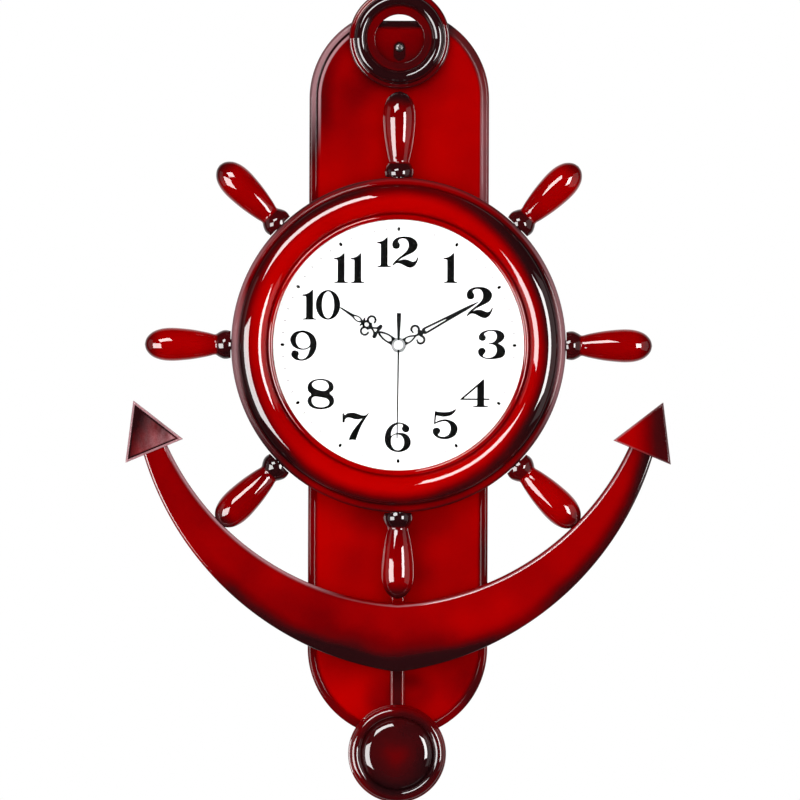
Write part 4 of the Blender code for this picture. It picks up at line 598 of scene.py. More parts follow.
def metal(name, colour, roughness=0.3):
    """Bare metal with drawn or rolled marks and a little tarnish."""
    finish = Finish(name)
    drawn = finish.noise(420.0, 4.0, (1.0, 1.0, 12.0))
    stain = finish.noise(60.0, 4.0).fade(0.35, 0.75)
    return finish.cover(finish.blend(stain, colour, tinted(colour, 0.72)), drawn, roughness - 0.08,
                        roughness + 0.1, Normal=finish.relief(drawn, 0.00001), Metallic=1.0)


def silver_paint(name):
    """Silver paint, pale from every side."""
    finish = Finish(name)
    flake = finish.noise(1500.0, 2.0)
    colour = finish.blend(finish.noise(200.0, 3.0), (0.60, 0.60, 0.61), (0.80, 0.80, 0.81))
    return finish.cover(colour, flake, 0.3, 0.5, Metallic=0.2, Normal=finish.relief(flake, 0.000006))


def satin_nickel(name):
    """Satin nickel plate."""
    finish = Finish(name)
    marks = finish.noise(600.0, 3.0)
    colour = finish.blend(marks, (0.20, 0.20, 0.205), (0.36, 0.36, 0.37))
    return finish.cover(colour, marks, 0.3, 0.5, Metallic=0.3, Normal=finish.relief(marks, 0.000006))


def shared(name, build, *details):
    """A material made once and used again."""
    return bpy.data.materials.get(name) or build(name, *details)


def steel():
    return shared("bright_steel", metal, (0.62, 0.62, 0.64))


def pearl():
    return shared("silver_paint", silver_paint)


# Where each piece is sprayed dark, painted pale as highlights and reflections, or dull. Numbers are metres,
# and shares of the paint

def board_rim(finish):
    """How far a point lies from the middle line of the board."""
    return finish.from_line((BOARD_TOP_ARC + BOARD_BOTTOM_ARC) / 2, (BOARD_TOP_ARC - BOARD_BOTTOM_ARC) / 2)


def board_corner(finish):
    """The board's upper left, where the rim is darkest and two painted highlights run along its edges."""
    return finish.z.fade(0.135, 0.190) * finish.x.fade(-0.038, -0.026, 1.0, 0.0)


# Middle, full and clear radius in millimetres, and depth of each patch on the board. Most are sprayed dark;
# those beneath the anchor's lower left edge and beside the rod below the anchor are painted shadow, and the
# two with negative depth are painted light where the top handle's shadow falls.
BOARD_SPRAY_SHADE_AND_LIGHT = (
    (0.0, 225.2, 18.0, 48.0, 0.48), (-26.0, 190.0, 3.0, 30.0, 0.20), (-52.0, 178.0, 5.0, 70.0, 0.24),
    (22.0, 196.0, 4.0, 26.0, 0.22), (-24.0, -128.0, 3.0, 20.0, 0.16), (34.0, -160.0, 5.0, 55.0, 0.05),
    (62.0, -252.0, 8.0, 50.0, 0.46), (0.0, -300.0, 36.0, 52.0, 0.10), (11.0, -254.0, 6.0, 22.0, 0.40),
    (30.0, -128.0, 4.0, 18.0, 0.18), (-11.0, -258.0, 5.0, 19.0, 0.40), (-30.0, -200.0, 3.0, 22.0, 0.14),
    (14.0, -142.0, 2.0, 22.0, 0.24), (12.0, -168.0, 2.0, 24.0, 0.34), (-31.0, -164.0, 2.0, 29.0, 0.30),
    (-45.0, -240.0, 5.0, 22.0, 0.14), (9.0, -246.0, 2.0, 12.0, 0.16), (-12.0, 145.0, 3.0, 20.0, -0.16),
    (-13.0, 172.0, 4.0, 22.0, -0.22))


def board_darkness(finish):
    out = board_rim(finish)
    lower_right = finish.x.fade(0.015, 0.045, 0.0, 0.5) * finish.z.fade(-0.230, -0.200, 1.0, 0.0)
    rim = out.fade(0.0570, 0.0618, 0.0, 0.62) * (1.0 - lower_right)
    corner = out.fade(0.0440, 0.0575, 0.0, 0.42) * out.fade(0.0600, 0.0640, 1.0, 0.3)
    line = out.band(0.0594, 0.0600, 0.0606, 0.0612, 0.45)
    corner = (corner + line) * board_corner(finish)
    flat_top = finish.z.fade(0.2320, 0.2350, 0.0, 0.5)
    # Painted shade in and round the screw pocket, which is too shallow to shade itself
    pocket = finish.from_line((POCKET_TOP + POCKET_LOW) / 2, (POCKET_TOP - POCKET_LOW) / 2)
    pocket = pocket.fade(0.0034, 0.0052, 0.34, 0.0)
    # Sprayed patches, painted shadow beside the rod and beneath the anchor, and painted light where the top
    # handle's shadow falls
    patches = [finish.reach(x, z).fade(full * MM, clear * MM, depth, 0.0)
               for x, z, full, clear, depth in BOARD_SPRAY_SHADE_AND_LIGHT]
    return sum([rim, corner, flat_top, pocket] + patches, 0.07)


def board_painted_highlight(finish):
    """Painted highlights: a pale band along the rim's right side, and two pale lines along its upper left."""
    out = board_rim(finish)
    band = out.band(0.0590, 0.0602, 0.0612, 0.0630, 1.0, 0.45)
    right = finish.x.fade(0.0, 0.03, 0.0, 0.36) * finish.z.band(-0.12, 0.02, 0.160, 0.205, 1.0, 0.15)
    inner = out.band(0.0572, 0.0582, 0.0592, 0.0600, 0.85)
    outer = out.band(0.0610, 0.0618, 0.0636, 0.0650, 0.62, 0.3)
    left = finish.larger(inner, outer) * board_corner(finish)
    return finish.larger(band * right, left) * finish.in_front(16.9)


def board_gloss(finish):
    """The rim is duller than the face."""
    return board_rim(finish).fade(0.0565, 0.0585, 1.0, 0.16)


def ring_darkness(finish):
    out = finish.reach(0.0, RING_CENTRE)
    flange = out.fade(0.0350, 0.0372, 0.60, 0.80) + out.fade(0.0215, 0.0235, 0.08, 0.0)
    return flange + out.band(0.0232, 0.0248, 0.0325, 0.0340) * 0.55


def ring_gloss(finish):
    """Duller inside the bead."""
    return finish.reach(0.0, RING_CENTRE).fade(0.0225, 0.0240, 0.25, 1.0)


def wheel_darkness(finish):
    out = finish.reach(0.0, 0.0)
    # The spray reaches further in towards the right
    shifted = out + finish.x.fade(0.0, 0.115, 0.0, 0.0042)
    crest = shifted.fade(0.1045, 0.1165, 0.0, 0.84)
    flange = out.band(0.1165, 0.1190, 0.1205, 0.1225, -0.30, -0.06)
    groove = out.band(0.0945, 0.0955, 0.0962, 0.0990, 0.42)
    bead = out.fade(0.0940, 0.0952, 0.30, 0.0)
    sides = abs(finish.x).fade(0.055, 0.105, 0.0, 0.16)
    return crest + flange + groove + bead + sides


def wheel_painted_reflection(finish):
    """Painted reflection: pale along the flange, most of all at the sides."""
    out = finish.reach(0.0, 0.0)
    aside = abs(finish.x)
    line = out.fade(0.1196, 0.1208) * aside.fade(0.07, 0.118, 0.03, 0.42)
    band = out.fade(0.1163, 0.1172) * aside.fade(0.109, 0.120, 0.0, 0.36)
    return finish.larger(line, band) * finish.in_front(42.0) * finish.z.fade(-0.085, -0.02, 0.1, 1.0)


def wheel_gloss(finish):
    """The flange is duller than the crest, and so is the crest's left flank."""
    out = finish.reach(0.0, 0.0)
    left = out.fade(0.1142, 0.1150, 0.0, 0.7) * finish.x.fade(-0.09, -0.05, 1.0, 0.0)
    return out.fade(0.1158, 0.1168, 1.0, 0.25) * (1.0 - left)


def handle_darkness(base):
    def darkness(finish):
        out = finish.reach(0.0, 0.0)
        ball = out.fade(0.1322, 0.1345, 0.42, 0.0)
        tip = out.fade(0.1720, 0.1860, 0.0, 0.50)
        grip = out.fade(0.1345, 0.1500, 0.14, 0.0)
        return (ball + tip) + (grip + base)
    return darkness


def anchor_darkness(finish):
    (inner_radius, *inner), (outer_radius, *outer) = arm_arcs()
    x, z = finish.x, finish.z
    out = finish.reach(*outer, both_sides=True)
    edge = out.fade((outer_radius - 14.0) * MM, outer_radius * MM, 0.0, 0.46) * x.fade(
        -0.160, -0.115, 0.12, 1.0)
    crest = finish.reach(*inner, both_sides=True).fade(
        inner_radius * MM, (inner_radius + 6.0) * MM, 0.18, 0.0)
    low = z.fade(-0.242, -0.202, 0.70, 0.0) * abs(x).fade(0.06, 0.17, 1.0, 0.5)
    patch = finish.reach(-36.0, -200.0).fade(0.012, 0.045, 0.20, 0.0)
    left = x.fade(-0.14, 0.02, 0.12, 0.0)
    right_edge = out.fade((outer_radius - 15.0) * MM, (outer_radius - 2.0) * MM, 0.0, 0.18) * x.fade(
        0.08, 0.13)
    right_tip = x.fade(0.150, 0.185, 0.0, 0.10) * z.fade(-0.13, -0.08)
    return sum((crest, low, patch, left, right_edge, right_tip), edge + 0.26)


def anchor_painted_highlight(finish):
    """Painted highlights: pale along the left arm's inner edge, and a fine line along the right arm's."""
    (inner_radius, *inner), _ = arm_arcs()
    gap = finish.reach(*inner, both_sides=True) - inner_radius * MM
    front = (finish.y * -1.0).fade(0.0385, 0.0395)
    left = gap.fade(0.0012, 0.0022, 0.75, 0.0) * finish.x.fade(-0.075, -0.035, 1.0, 0.0)
    right = gap.band(0.0010, 0.0017, 0.0021, 0.0029, 0.55) * finish.x.fade(-0.03, 0.03, 0.25, 1.0)
    return front * finish.larger(left, right)


def from_outline(finish):
    """How far inside the arrowhead's outline a point lies."""
    over, up = abs(finish.x) - FLUKE_BASE[0] * MM, finish.z - FLUKE_BASE[1] * MM
    across = abs(over * FLUKE_ACROSS[0] + up * FLUKE_ACROSS[1])
    along = over * FLUKE_ALONG[0] + up * FLUKE_ALONG[1]
    side = (FLUKE_HALF * MM - across) * (FLUKE_LENGTH / FLUKE_SIDE) - along * (FLUKE_HALF / FLUKE_SIDE)
    return finish.maths("MINIMUM", side, along)


def left_fluke_darkness(finish):
    streak = finish.noise(60.0, 3.0, (1.0, 1.0, 0.5)).fade(0.3, 0.7, -0.15, 0.2)
    slope = finish.x * -1.0 + finish.z * 0.9
    line = from_outline(finish).band(0.0012, 0.0018, 0.0022, 0.0032, 0.4)
    return slope.fade(0.075, 0.150, 0.30, 0.95) + streak + line


def right_fluke_darkness(finish):
    return finish.x.fade(0.169, 0.194, 0.05, 0.74)


def left_fluke_painted_reflection(finish):
    """Painted reflection: the left arrowhead is pale along its outline and clouded pale towards the wheel."""
    cloud = finish.noise(70.0, 4.0, (1.0, 1.0, 0.6))
    speck = finish.noise(900.0, 2.0).fade(0.35, 0.65, 0.72, 1.0)
    slope = finish.x + finish.z * -0.35
    inside = from_outline(finish)
    face = slope.fade(-0.172, -0.138, 0.0, 0.75) * cloud.fade(0.35, 0.65, 0.12, 1.0) * speck
    face = face * inside.fade(0.0022, 0.0036)
    line = inside.fade(0.0012, 0.0018, 1.0, 0.0) * cloud.fade(0.3, 0.6, 0.55, 0.95)
    return finish.larger(line, face) * finish.in_front(44.3)


def right_fluke_painted_highlight(finish):
    """Painted highlight: a pale line along the right arrowhead's upper left side only."""
    line = from_outline(finish).fade(0.0008, 0.0016, 0.30, 0.0)
    slope = finish.x + finish.z * -0.3
    return line * slope.fade(0.185, 0.200, 1.0, 0.3) * finish.in_front(44.3)


def bob_darkness(finish):
    dome = finish.reach(-2.0, BOB_CENTRE - 3.0).fade(0.0, 0.026, 0.62, 0.90)
    return dome + finish.reach(0.0, BOB_CENTRE).fade(0.0275, 0.0350, 0.0, -0.26)


def rod_darkness(finish):
    """Red like the board above the anchor, where only its end shows, and paler along its bevelled edges as
    painted highlights.
    """
    return abs(finish.x).fade(0.0022, 0.0042, 0.90, 0.55) * finish.z.fade(-0.206, -0.198, 1.0, 0.2)


def rod_gloss(finish):
    return 0.4


# Pieces

def board_outline():
    radius = BOARD_HALF_WIDTH
    corner = math.degrees(math.asin((BOARD_FLAT_TOP - BOARD_TOP_ARC) / radius))
    half = arc(0.0, BOARD_BOTTOM_ARC, radius, -90.0, 0.0, 40)
    return mirrored(half + arc(0.0, BOARD_TOP_ARC, radius, 0.0, corner, 28))


# Inset and rise of each step over the board's rounded rim, in millimetres
RIM_STEPS = ((0.18, 0.70), (0.35, 0.60), (0.60, 0.46), (0.90, 0.32), (1.20, 0.12), (1.10, -0.10),
             (0.90, -0.28), (0.60, -0.44), (0.35, -0.45), (0.20, -0.30))

# Places of the screw pads behind the board's right half, which the left half has too
BOARD_PADS = ((24.0, 209.2), (46.0, 42.0), (42.0, -212.0))


def model_back_board():
    rise = BOARD_FACE - sum(step for _, step in RIM_STEPS)
    board = block("lacquered_board", board_outline(), 0.0, rise)
    pick("FACE", at_depth(rise))
    for inset, step in RIM_STEPS:
        bpy.ops.mesh.inset(thickness=inset * MM, depth=step * MM, use_even_offset=True)
    hollow(0.0, BOARD_FACE)
    close_mesh(board)
    additions = []
    pad = [(0.0, 17.0), (5.0, 17.0), (5.0, 19.2), (4.6, 19.5), (0.0, 19.5)]
    for i, (x, z) in enumerate(BOARD_PADS):
        for side in (-1, 1):
            additions.append(lathe("pad_%d_%d" % (i, side), pad, 24, z, side * x))
    for side, left in ((-1, -13.0), (1, 11.0)):
        additions.append(box("rib_%d" % side, left, left + 2.0, 10.5, 16.5, 181.0, 226.9))
    additions.append(lathe("boss", [(0.0, 10.5), (3.6, 10.5), (3.6, 16.5), (0.0, 16.5)], 24, POCKET_TOP))
    combine(board, additions, "UNION")
    pocket = arc(0.0, POCKET_TOP, POCKET_RADIUS, 0.0, 180.0, 20)
    pocket += arc(0.0, POCKET_LOW, POCKET_RADIUS, 180.0, 360.0, 20)
    combine(board, [slab("pocket", [pocket], 16.8, 22.0),
                    box("aperture", -31.0, 31.0, -5.0, 25.0, -80.0, 29.0)], "DIFFERENCE")
    return board


class CLOCK_OT_back_board(bpy.types.Operator):
    """Model the lacquered back board with its rounded rim and screw pocket"""
    bl_idname = "ship_clock.back_board"
    bl_label = "Back board"

    def execute(self, context):
        look = lacquer("board_lacquer", board_darkness, board_painted_highlight, gloss_depth=16.9, gloss=board_gloss)
        mount(model_back_board(), ROOT, "red_lacquer", look, "back_board")
        return {"FINISHED"}


class CLOCK_OT_top_ring(bpy.types.Operator):
    """Turn the dark ring at the top of the clock"""
    bl_idname = "ship_clock.top_ring"
    bl_label = "Top ring"

    def execute(self, context):
        profile = [(17.8, SEAT), (17.8, 24.6)] + arc(18.6, 24.6, 0.8, 180.0, 90.0, 5)
        profile += [(23.4, 25.5), (24.2, 26.4)]
        profile += arc(28.7, 29.0, 4.3, 200.0, -20.0, 28)
        profile += [(33.4, 26.9), (34.2, 26.6)]
        profile += arc(35.2, 24.8, 1.8, 90.0, 0.0, 8)
        profile += [(37.0, SEAT)]
        ring = lathe("lacquered_ring", profile, 96, RING_CENTRE)
        look = lacquer("ring_lacquer", ring_darkness, gloss_depth=21.0, gloss=ring_gloss)
        mount(ring, ROOT, "dark_lacquer", look, "top_ring")
        return {"FINISHED"}


def wheel_profile():
    """The rim's section: flange, groove, broad crest, bead round the glass and the hollow behind."""
    profile = [(120.3, SEAT), (122.8, SEAT)]
    profile += bend([(122.8, 42.6, 1), (122.7, 43.6), (122.0, 44.7), (120.8, 45.6), (119.6, 46.2),
                     (118.4, 46.5), (117.3, 46.3), (116.6, 45.7, 1)], 3)
    profile += [(106.6 + 10.5 * math.cos(math.radians(angle)), 48.9 + 7.6 * math.sin(math.radians(angle)))
                for angle in range(-20, 173, 6)]
    profile += [(95.9, 49.9)]
    profile += arc(93.9, 50.3, 2.1, 20.0, 180.0, 12)
    profile += [(91.8, 48.7), (96.5, 48.7), (96.5, 37.2), (99.0, 37.2), (99.0, 46.5)]
    profile += arc(107.0, 46.5, 7.6, 170.0, 10.0, 12)
    profile += [(120.3, 41.0)]
    return profile


def pendulum_room():
    """The wedge behind the wheel and the anchor that the rod swings in."""
    slope = math.tan(math.radians(SWING))
    right = [(ROOM_AT_PIVOT + (PIVOT - z) * slope, z) for z in (-350.0, -62.0)]
    return slab("pendulum_room", [mirrored(right)], 15.5, 23.9)


class CLOCK_OT_wheel_bezel(bpy.types.Operator):
    """Turn the wheel's rim, which frames the glass"""
    bl_idname = "ship_clock.wheel_bezel"
    bl_label = "Wheel rim"

    def execute(self, context):
        wheel = lathe("lacquered_wheel", wheel_profile(), context.scene.clock_stage.smoothness)
        combine(wheel, [pendulum_room()], "DIFFERENCE")
        look = lacquer("wheel_lacquer", wheel_darkness, wheel_painted_reflection, gloss_depth=40.0, gloss=wheel_gloss)
        mount(wheel, ROOT, "red_lacquer", look, "wheel_bezel")
        return {"FINISHED"}


# Share of the handle's length and radius in millimetres, from the wheel to the tip
HANDLE_SHAPE = ((0.0, 9.9), (0.04, 10.6), (0.085, 10.5), (0.13, 9.3), (0.165, 7.9, 1), (0.19, 7.6),
                (0.27, 8.9), (0.43, 10.8), (0.57, 11.8), (0.685, 12.2), (0.79, 11.7), (0.88, 10.0),
                (0.94, 7.5), (0.983, 4.0), (1.0, 0.0))

# How dark each handle is as a whole, clockwise from the top
HANDLE_TONES = (0.50, 0.30, 0.27, 0.33, 0.48, 0.34, 0.32, 0.33)


def handle_body(name, swell=0.0):
    """Spin a handle, pointing up, about its own line."""
    length = HANDLE_TIP - HANDLE_BASE + swell
    shape = [(HANDLE_BASE + point[0] * length, point[1] + (swell if point[1] else 0.0)) + tuple(point[2:])
             for point in HANDLE_SHAPE]
    profile = [(HANDLE_BASE - 5.0, 0.0), (HANDLE_BASE - 5.0, 4.0), (HANDLE_BASE, 4.0)]
    profile += bend(shape, 5)
    points = [place(radius, HANDLE_DEPTH, out) for out, radius in profile]
    return turned(name, points, 56, place(0.0, HANDLE_DEPTH, 0.0), (0.0, 0.0, 1.0))


def turned_handle(handle, number):
    """Turn a handle that points up to its place, counted clockwise from the top."""
    turn_mesh(handle, -45.0 * (number - 1))
    return handle


class CLOCK_OT_handles(bpy.types.Operator):
    """Turn one wheel handle and copy it round the rim"""
    bl_idname = "ship_clock.handles"
    bl_label = "Handles"

    def execute(self, context):
        name = "lacquered_handle_%d"
        first = handle_body(name % 1)
        handles = [first] + [turned_handle(copy_of(first, name % i), i) for i in range(2, 9)]
        for i, (handle, tone) in enumerate(zip(handles, HANDLE_TONES)):
            node = "handle_%d" % (i + 1)
            low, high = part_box(node)
            points = [vertex.co for vertex in handle.data.vertices]
            middle = sum(points, Vector()) / len(points)
            if (middle - (low + high) / 2).length > 0.03:
                self.report({"ERROR"}, node + " was turned to a wrong place")
            look = lacquer("handle_lacquer_%d" % (i + 1), handle_darkness(tone))
            mount(handle, ROOT, "red_lacquer", look, node)
        return {"FINISHED"}


def arrow_point(across, along):
    """A point of the right arrowhead, from the middle of its base."""
    return tuple(FLUKE_BASE[k] + FLUKE_ACROSS[k] * across + FLUKE_ALONG[k] * along for k in (0, 1))


def arc_centre(radius, start, end):
    """Centre of the arc with this radius that runs from one point up to another."""
    half_x, half_z = (end[0] - start[0]) / 2, (end[1] - start[1]) / 2
    half = math.hypot(half_x, half_z)
    rise = math.sqrt(radius * radius - half * half)
    return start[0] + half_x - half_z / half * rise, start[1] + half_z + half_x / half * rise


def arm_arcs():
    """Radius and centre of the right arm's inner and outer arc."""
    ends = (arrow_point(-10.2, 0.0), arrow_point(8.2, 0.0))
    return [(radius, *arc_centre(radius, (0.0, low), end))
            for (radius, low), end in zip((ARM_INNER, ARM_OUTER), ends)]


def on_front_edge(radius, x, z):
    """A test that all corners lie on the anchor's front, on an arc or its mirror image."""
    def test(corners):
        return at_depth(ANCHOR_FRONT)(corners) and all(
            abs(math.hypot(abs(c.x) / MM - x, (c.z - DIAL_Z) / MM - z) - radius) < 2 * NEAR for c in corners)
    return test


def arm_edge(radius, x, z):
    """The right arm's edge on an arc, from the lowest point to inside the arrowhead."""
    px, pz = arrow_point(0.0, ARM_INSIDE_FLUKE)
    middle = (px - x) * FLUKE_ACROSS[0] + (pz - z) * FLUKE_ACROSS[1]
    step = -middle + math.sqrt(middle * middle - ((px - x) ** 2 + (pz - z) ** 2 - radius * radius))
    end_x, end_z = px + FLUKE_ACROSS[0] * step - x, pz + FLUKE_ACROSS[1] * step - z
    start = -90.0 + math.degrees(math.asin(-x / radius))
    points = arc(x, z, radius, start, math.degrees(math.atan2(end_z, end_x)), 48)
    points[0] = (0.0, points[0][1])
    return points


class CLOCK_OT_anchor_arms(bpy.types.Operator):
    """Model the anchor's crescent with its rounded edges"""
    bl_idname = "ship_clock.anchor_arms"
    bl_label = "Anchor arms"

    def execute(self, context):
        inner_arc, outer_arc = arm_arcs()
        outline = mirrored(arm_edge(*outer_arc) + arm_edge(*inner_arc)[::-1])
        anchor = block("lacquered_anchor", outline, SEAT, ANCHOR_FRONT)
        bevel(on_front_edge(*inner_arc), 3.6, 6, clamp=True)
        bevel(on_front_edge(*outer_arc), 2.2, 4, clamp=True)
        hollow(SEAT, ANCHOR_FRONT)
        close_mesh(anchor)
        dimples = [turned_handle(handle_body("dimple_%d" % i, 0.3), i) for i in (4, 6)]
        combine(anchor, [pendulum_room()] + dimples, "DIFFERENCE")
        look = lacquer("anchor_lacquer", anchor_darkness, anchor_painted_highlight, gloss_depth=41.6)
        mount(anchor, ROOT, "red_lacquer", look, "anchor_arms")
        return {"FINISHED"}


class CLOCK_OT_flukes(bpy.types.Operator):
    """Model the two arrowheads with their bevelled edges"""
    bl_idname = "ship_clock.flukes"
    bl_label = "Arrowheads"

    def execute(self, context):
        for side, node, darkness, edge in ((-1, "left_fluke", left_fluke_darkness, left_fluke_painted_reflection),
                                           (1, "right_fluke", right_fluke_darkness, right_fluke_painted_highlight)):
            corners = [arrow_point(-FLUKE_HALF, 0.0), arrow_point(FLUKE_HALF, 0.0),
                       arrow_point(0.0, FLUKE_LENGTH)]
            outline = [(side * x, z) for x, z in corners]
            fluke = block("lacquered_" + node, outline, FLUKE_BACK, FLUKE_FRONT)
            bevel(at_depth(FLUKE_FRONT), 2.6, 3, 0.6)
            hollow(FLUKE_BACK, FLUKE_FRONT)
            close_mesh(fluke)
            soften(fluke, 0.35, 40.0)
            look = lacquer(node + "_lacquer", darkness, edge, gloss_depth=44.6)
            mount(fluke, ROOT, "red_lacquer", look, node)
        return {"FINISHED"}


# Numerals, drawn on a grid of 360 steps to a numeral's height, y running down.
# The first pair of each is its middle; a third value marks a corner. A nought is two ovals.
DIGITS = {
    "1": ((848, 580), [[
        (930, 760, 1), (765, 760, 1), (765, 748, 1), (795, 742), (806, 728, 1), (806, 492, 1),
        (800, 480), (776, 476), (760, 472, 1), (760, 460, 1), (800, 452), (838, 436), (866, 412),
        (880, 400, 1), (890, 400, 1), (890, 728, 1), (900, 742), (930, 748, 1)]]),
    "2": ((1015, 987), [[
        (948, 905), (938, 935), (905, 948), (868, 935), (855, 895), (868, 850), (905, 817), (960, 800),
        (1015, 797), (1075, 805), (1130, 835), (1160, 880), (1158, 925), (1130, 970), (1085, 1000),
        (1030, 1027), (975, 1056), (930, 1088, 1), (980, 1073), (1030, 1074), (1075, 1090), (1108, 1099),
        (1138, 1085), (1160, 1045, 1), (1172, 1045, 1), (1160, 1095), (1130, 1145), (1085, 1172),
        (1040, 1167), (995, 1145), (950, 1124), (910, 1121), (882, 1138), (868, 1152, 1), (855, 1143, 1),
        (875, 1110), (905, 1078), (950, 1040), (1000, 1000), (1035, 960), (1052, 915), (1048, 870),
        (1028, 838), (995, 823), (960, 826), (935, 842), (928, 860), (942, 880)]]),
    "3": ((1160, 1490), [[
        (1088, 1405), (1078, 1436), (1045, 1447), (1010, 1432), (1000, 1398), (1020, 1358), (1065, 1328),
        (1130, 1313), (1190, 1312), (1250, 1322), (1295, 1350), (1312, 1388), (1300, 1427), (1265, 1460),
        (1236, 1476, 1), (1270, 1494), (1305, 1525), (1322, 1567), (1314, 1612), (1280, 1645),
        (1220, 1660), (1150, 1667), (1080, 1660), (1022, 1634), (995, 1592), (998, 1555), (1020, 1533),
        (1055, 1530), (1080, 1548), (1085, 1578), (1067, 1604), (1054, 1622), (1070, 1640), (1112, 1649),
        (1163, 1640), (1200, 1612), (1218, 1568), (1212, 1522), (1190, 1497), (1152, 1486),
        (1118, 1483, 1), (1118, 1474, 1), (1160, 1467), (1195, 1448), (1215, 1414), (1217, 1375),
        (1198, 1342), (1160, 1328), (1115, 1333), (1080, 1350), (1065, 1368), (1080, 1386)]]),
    "4": ((957, 636), [[
        (1070, 468, 1), (1070, 697, 1), (1134, 697, 1), (1134, 717, 1), (1070, 717, 1), (1070, 770, 1),
        (1080, 785), (1120, 790, 1), (1120, 803, 1), (935, 803, 1), (935, 790, 1), (974, 785),
        (985, 770, 1), (985, 717, 1), (780, 717, 1), (780, 706, 1), (1058, 468, 1)],
        [(985, 562, 1), (985, 697, 1), (826, 697, 1)]]),
    "5": ((602, 1008), [[
        (478, 850, 1), (530, 860), (600, 864), (660, 856), (702, 840), (722, 825, 1), (734, 832, 1),
        (716, 865), (670, 903), (590, 919), (530, 912), (497, 904, 1), (486, 984, 1), (530, 963),
        (590, 950), (650, 957), (710, 985), (748, 1035), (750, 1090), (720, 1145), (660, 1180),
        (590, 1190), (520, 1176), (470, 1140), (452, 1100), (461, 1065), (492, 1050), (526, 1056),
        (545, 1080), (538, 1110), (520, 1130), (526, 1146), (552, 1156), (600, 1156), (643, 1133),
        (664, 1090), (667, 1040), (649, 1000), (612, 976), (570, 976), (520, 990), (466, 1012, 1)]]),
    "6": ((34, 1166), [[
        (-45, 1150, 1), (-2, 1124), (50, 1112), (110, 1118), (160, 1147), (190, 1200), (188, 1262),
        (150, 1312), (92, 1339), (38, 1345), (-22, 1334), (-80, 1295), (-114, 1238), (-122, 1172),
        (-102, 1090), (-60, 1032), (-8, 998), (50, 988), (110, 1000), (158, 1028), (176, 1062),
        (165, 1096), (132, 1108), (98, 1094), (84, 1062), (96, 1030), (84, 1010), (50, 1006),
        (10, 1022), (-24, 1060), (-42, 1108)],
        [(-45, 1222), (-38, 1168), (-5, 1141), (36, 1135), (80, 1150), (106, 1190), (111, 1240),
         (96, 1288), (62, 1318), (26, 1322), (-10, 1306), (-36, 1268)]]),
    "7": ((1028, 1040), [[
        (868, 880, 1), (888, 880, 1), (898, 900), (930, 880), (990, 872), (1050, 885), (1108, 905),
        (1150, 900), (1178, 874, 1), (1190, 880, 1), (1152, 935), (1112, 1000), (1078, 1070), (1052, 1140),
        (1030, 1205, 1), (988, 1198), (945, 1205, 1), (958, 1158), (988, 1100), (1030, 1042), (1075, 985),
        (1108, 944, 1), (1062, 955), (1010, 950), (960, 935), (925, 936), (902, 956), (896, 992, 1),
        (868, 992, 1)]]),
    "8": ((611, 652), [[
        (600, 467), (680, 477), (740, 510), (765, 560), (755, 604), (716, 640), (755, 680), (772, 732),
        (755, 782), (700, 820), (605, 836), (520, 821), (470, 786), (450, 737), (462, 692), (494, 656),
        (462, 620), (450, 575), (465, 524), (515, 484)],
        [(504, 540), (530, 502), (600, 485), (670, 500), (703, 545), (693, 590), (650, 611), (590, 604),
         (532, 580)],
        [(500, 722), (514, 692), (548, 682), (620, 692), (680, 706), (711, 742), (698, 782), (652, 805),
         (600, 809), (545, 796), (511, 766)]]),
    "9": ((400, 1510), [[
        (385, 1328), (450, 1340), (510, 1375), (548, 1430), (560, 1500), (545, 1570), (505, 1635),
        (440, 1680), (370, 1693), (300, 1678), (260, 1640), (254, 1605), (270, 1575), (305, 1568),
        (338, 1585), (345, 1615), (335, 1640), (344, 1664), (378, 1674), (424, 1656), (456, 1614),
        (474, 1560), (480, 1530, 1), (446, 1552), (395, 1562), (330, 1552), (270, 1515), (242, 1455),
        (250, 1400), (300, 1347)],
        [(310, 1440), (326, 1386), (366, 1357), (410, 1360), (454, 1395), (477, 1450), (477, 1500),
         (450, 1531), (400, 1545), (350, 1531), (318, 1490)]]),
}

# Each numeral and the place of its middle on the dial, in millimetres
NUMERALS = (("1", 38.1, 56.6), ("2", 59.6, 31.3), ("3", 68.5, 0.6), ("4", 56.1, -35.2), ("5", 34.4, -57.9),
            ("6", -0.4, -67.6), ("7", -31.2, -59.9), ("8", -56.8, -36.2), ("9", -69.7, -0.6),
            ("1", -65.3, 29.4), ("0", -51.8, 29.3), ("1", -42.3, 56.3), ("1", -30.05, 56.3),
            ("1", -10.7, 68.1), ("2", 4.9, 68.1))
GRID_HEIGHT = 360.0


def digit_loops(digit, x, z, unit):
    if digit == "0":
        return [oval(x, z, 147 * unit, 179 * unit, 56), oval(x, z, 73 * unit, 160 * unit, 48)]
    (middle_x, middle_y), loops = DIGITS[digit]
    return [[(x + (px - middle_x) * unit, z + (middle_y - py) * unit) for px, py in bend(loop, closed=True)]
            for loop in loops]


def without_doubles(loop):
    """Leave out points that lie on the one before, as at straight corners."""
    kept = [loop[0]]
    for point in loop[1:]:
        if math.dist(point, kept[-1]) > NEAR:
            kept.append(point)
    return kept if math.dist(kept[0], kept[-1]) > NEAR else kept[:-1]


def dial_paper(name):
    """Coated paper: faint fibres, and painted shade that greys it slightly towards the edge."""
    finish = Finish(name)
    paper = tuple(bpy.context.scene.clock_dial.paper)
    fibres = finish.noise(900.0, 5.0)
    base = finish.blend(finish.reach(0.0, 0.0).fade(0.0865, 0.0915), paper, tinted(paper, 0.97))
    cloud = finish.noise(30.0, 3.0).fade(0.45, 0.9, 0.0, 0.6)
    return finish.cover(finish.blend(cloud, base, tinted(paper, 0.965)), fibres, 0.42, 0.58,
                        Normal=finish.relief(fibres, 0.000012))


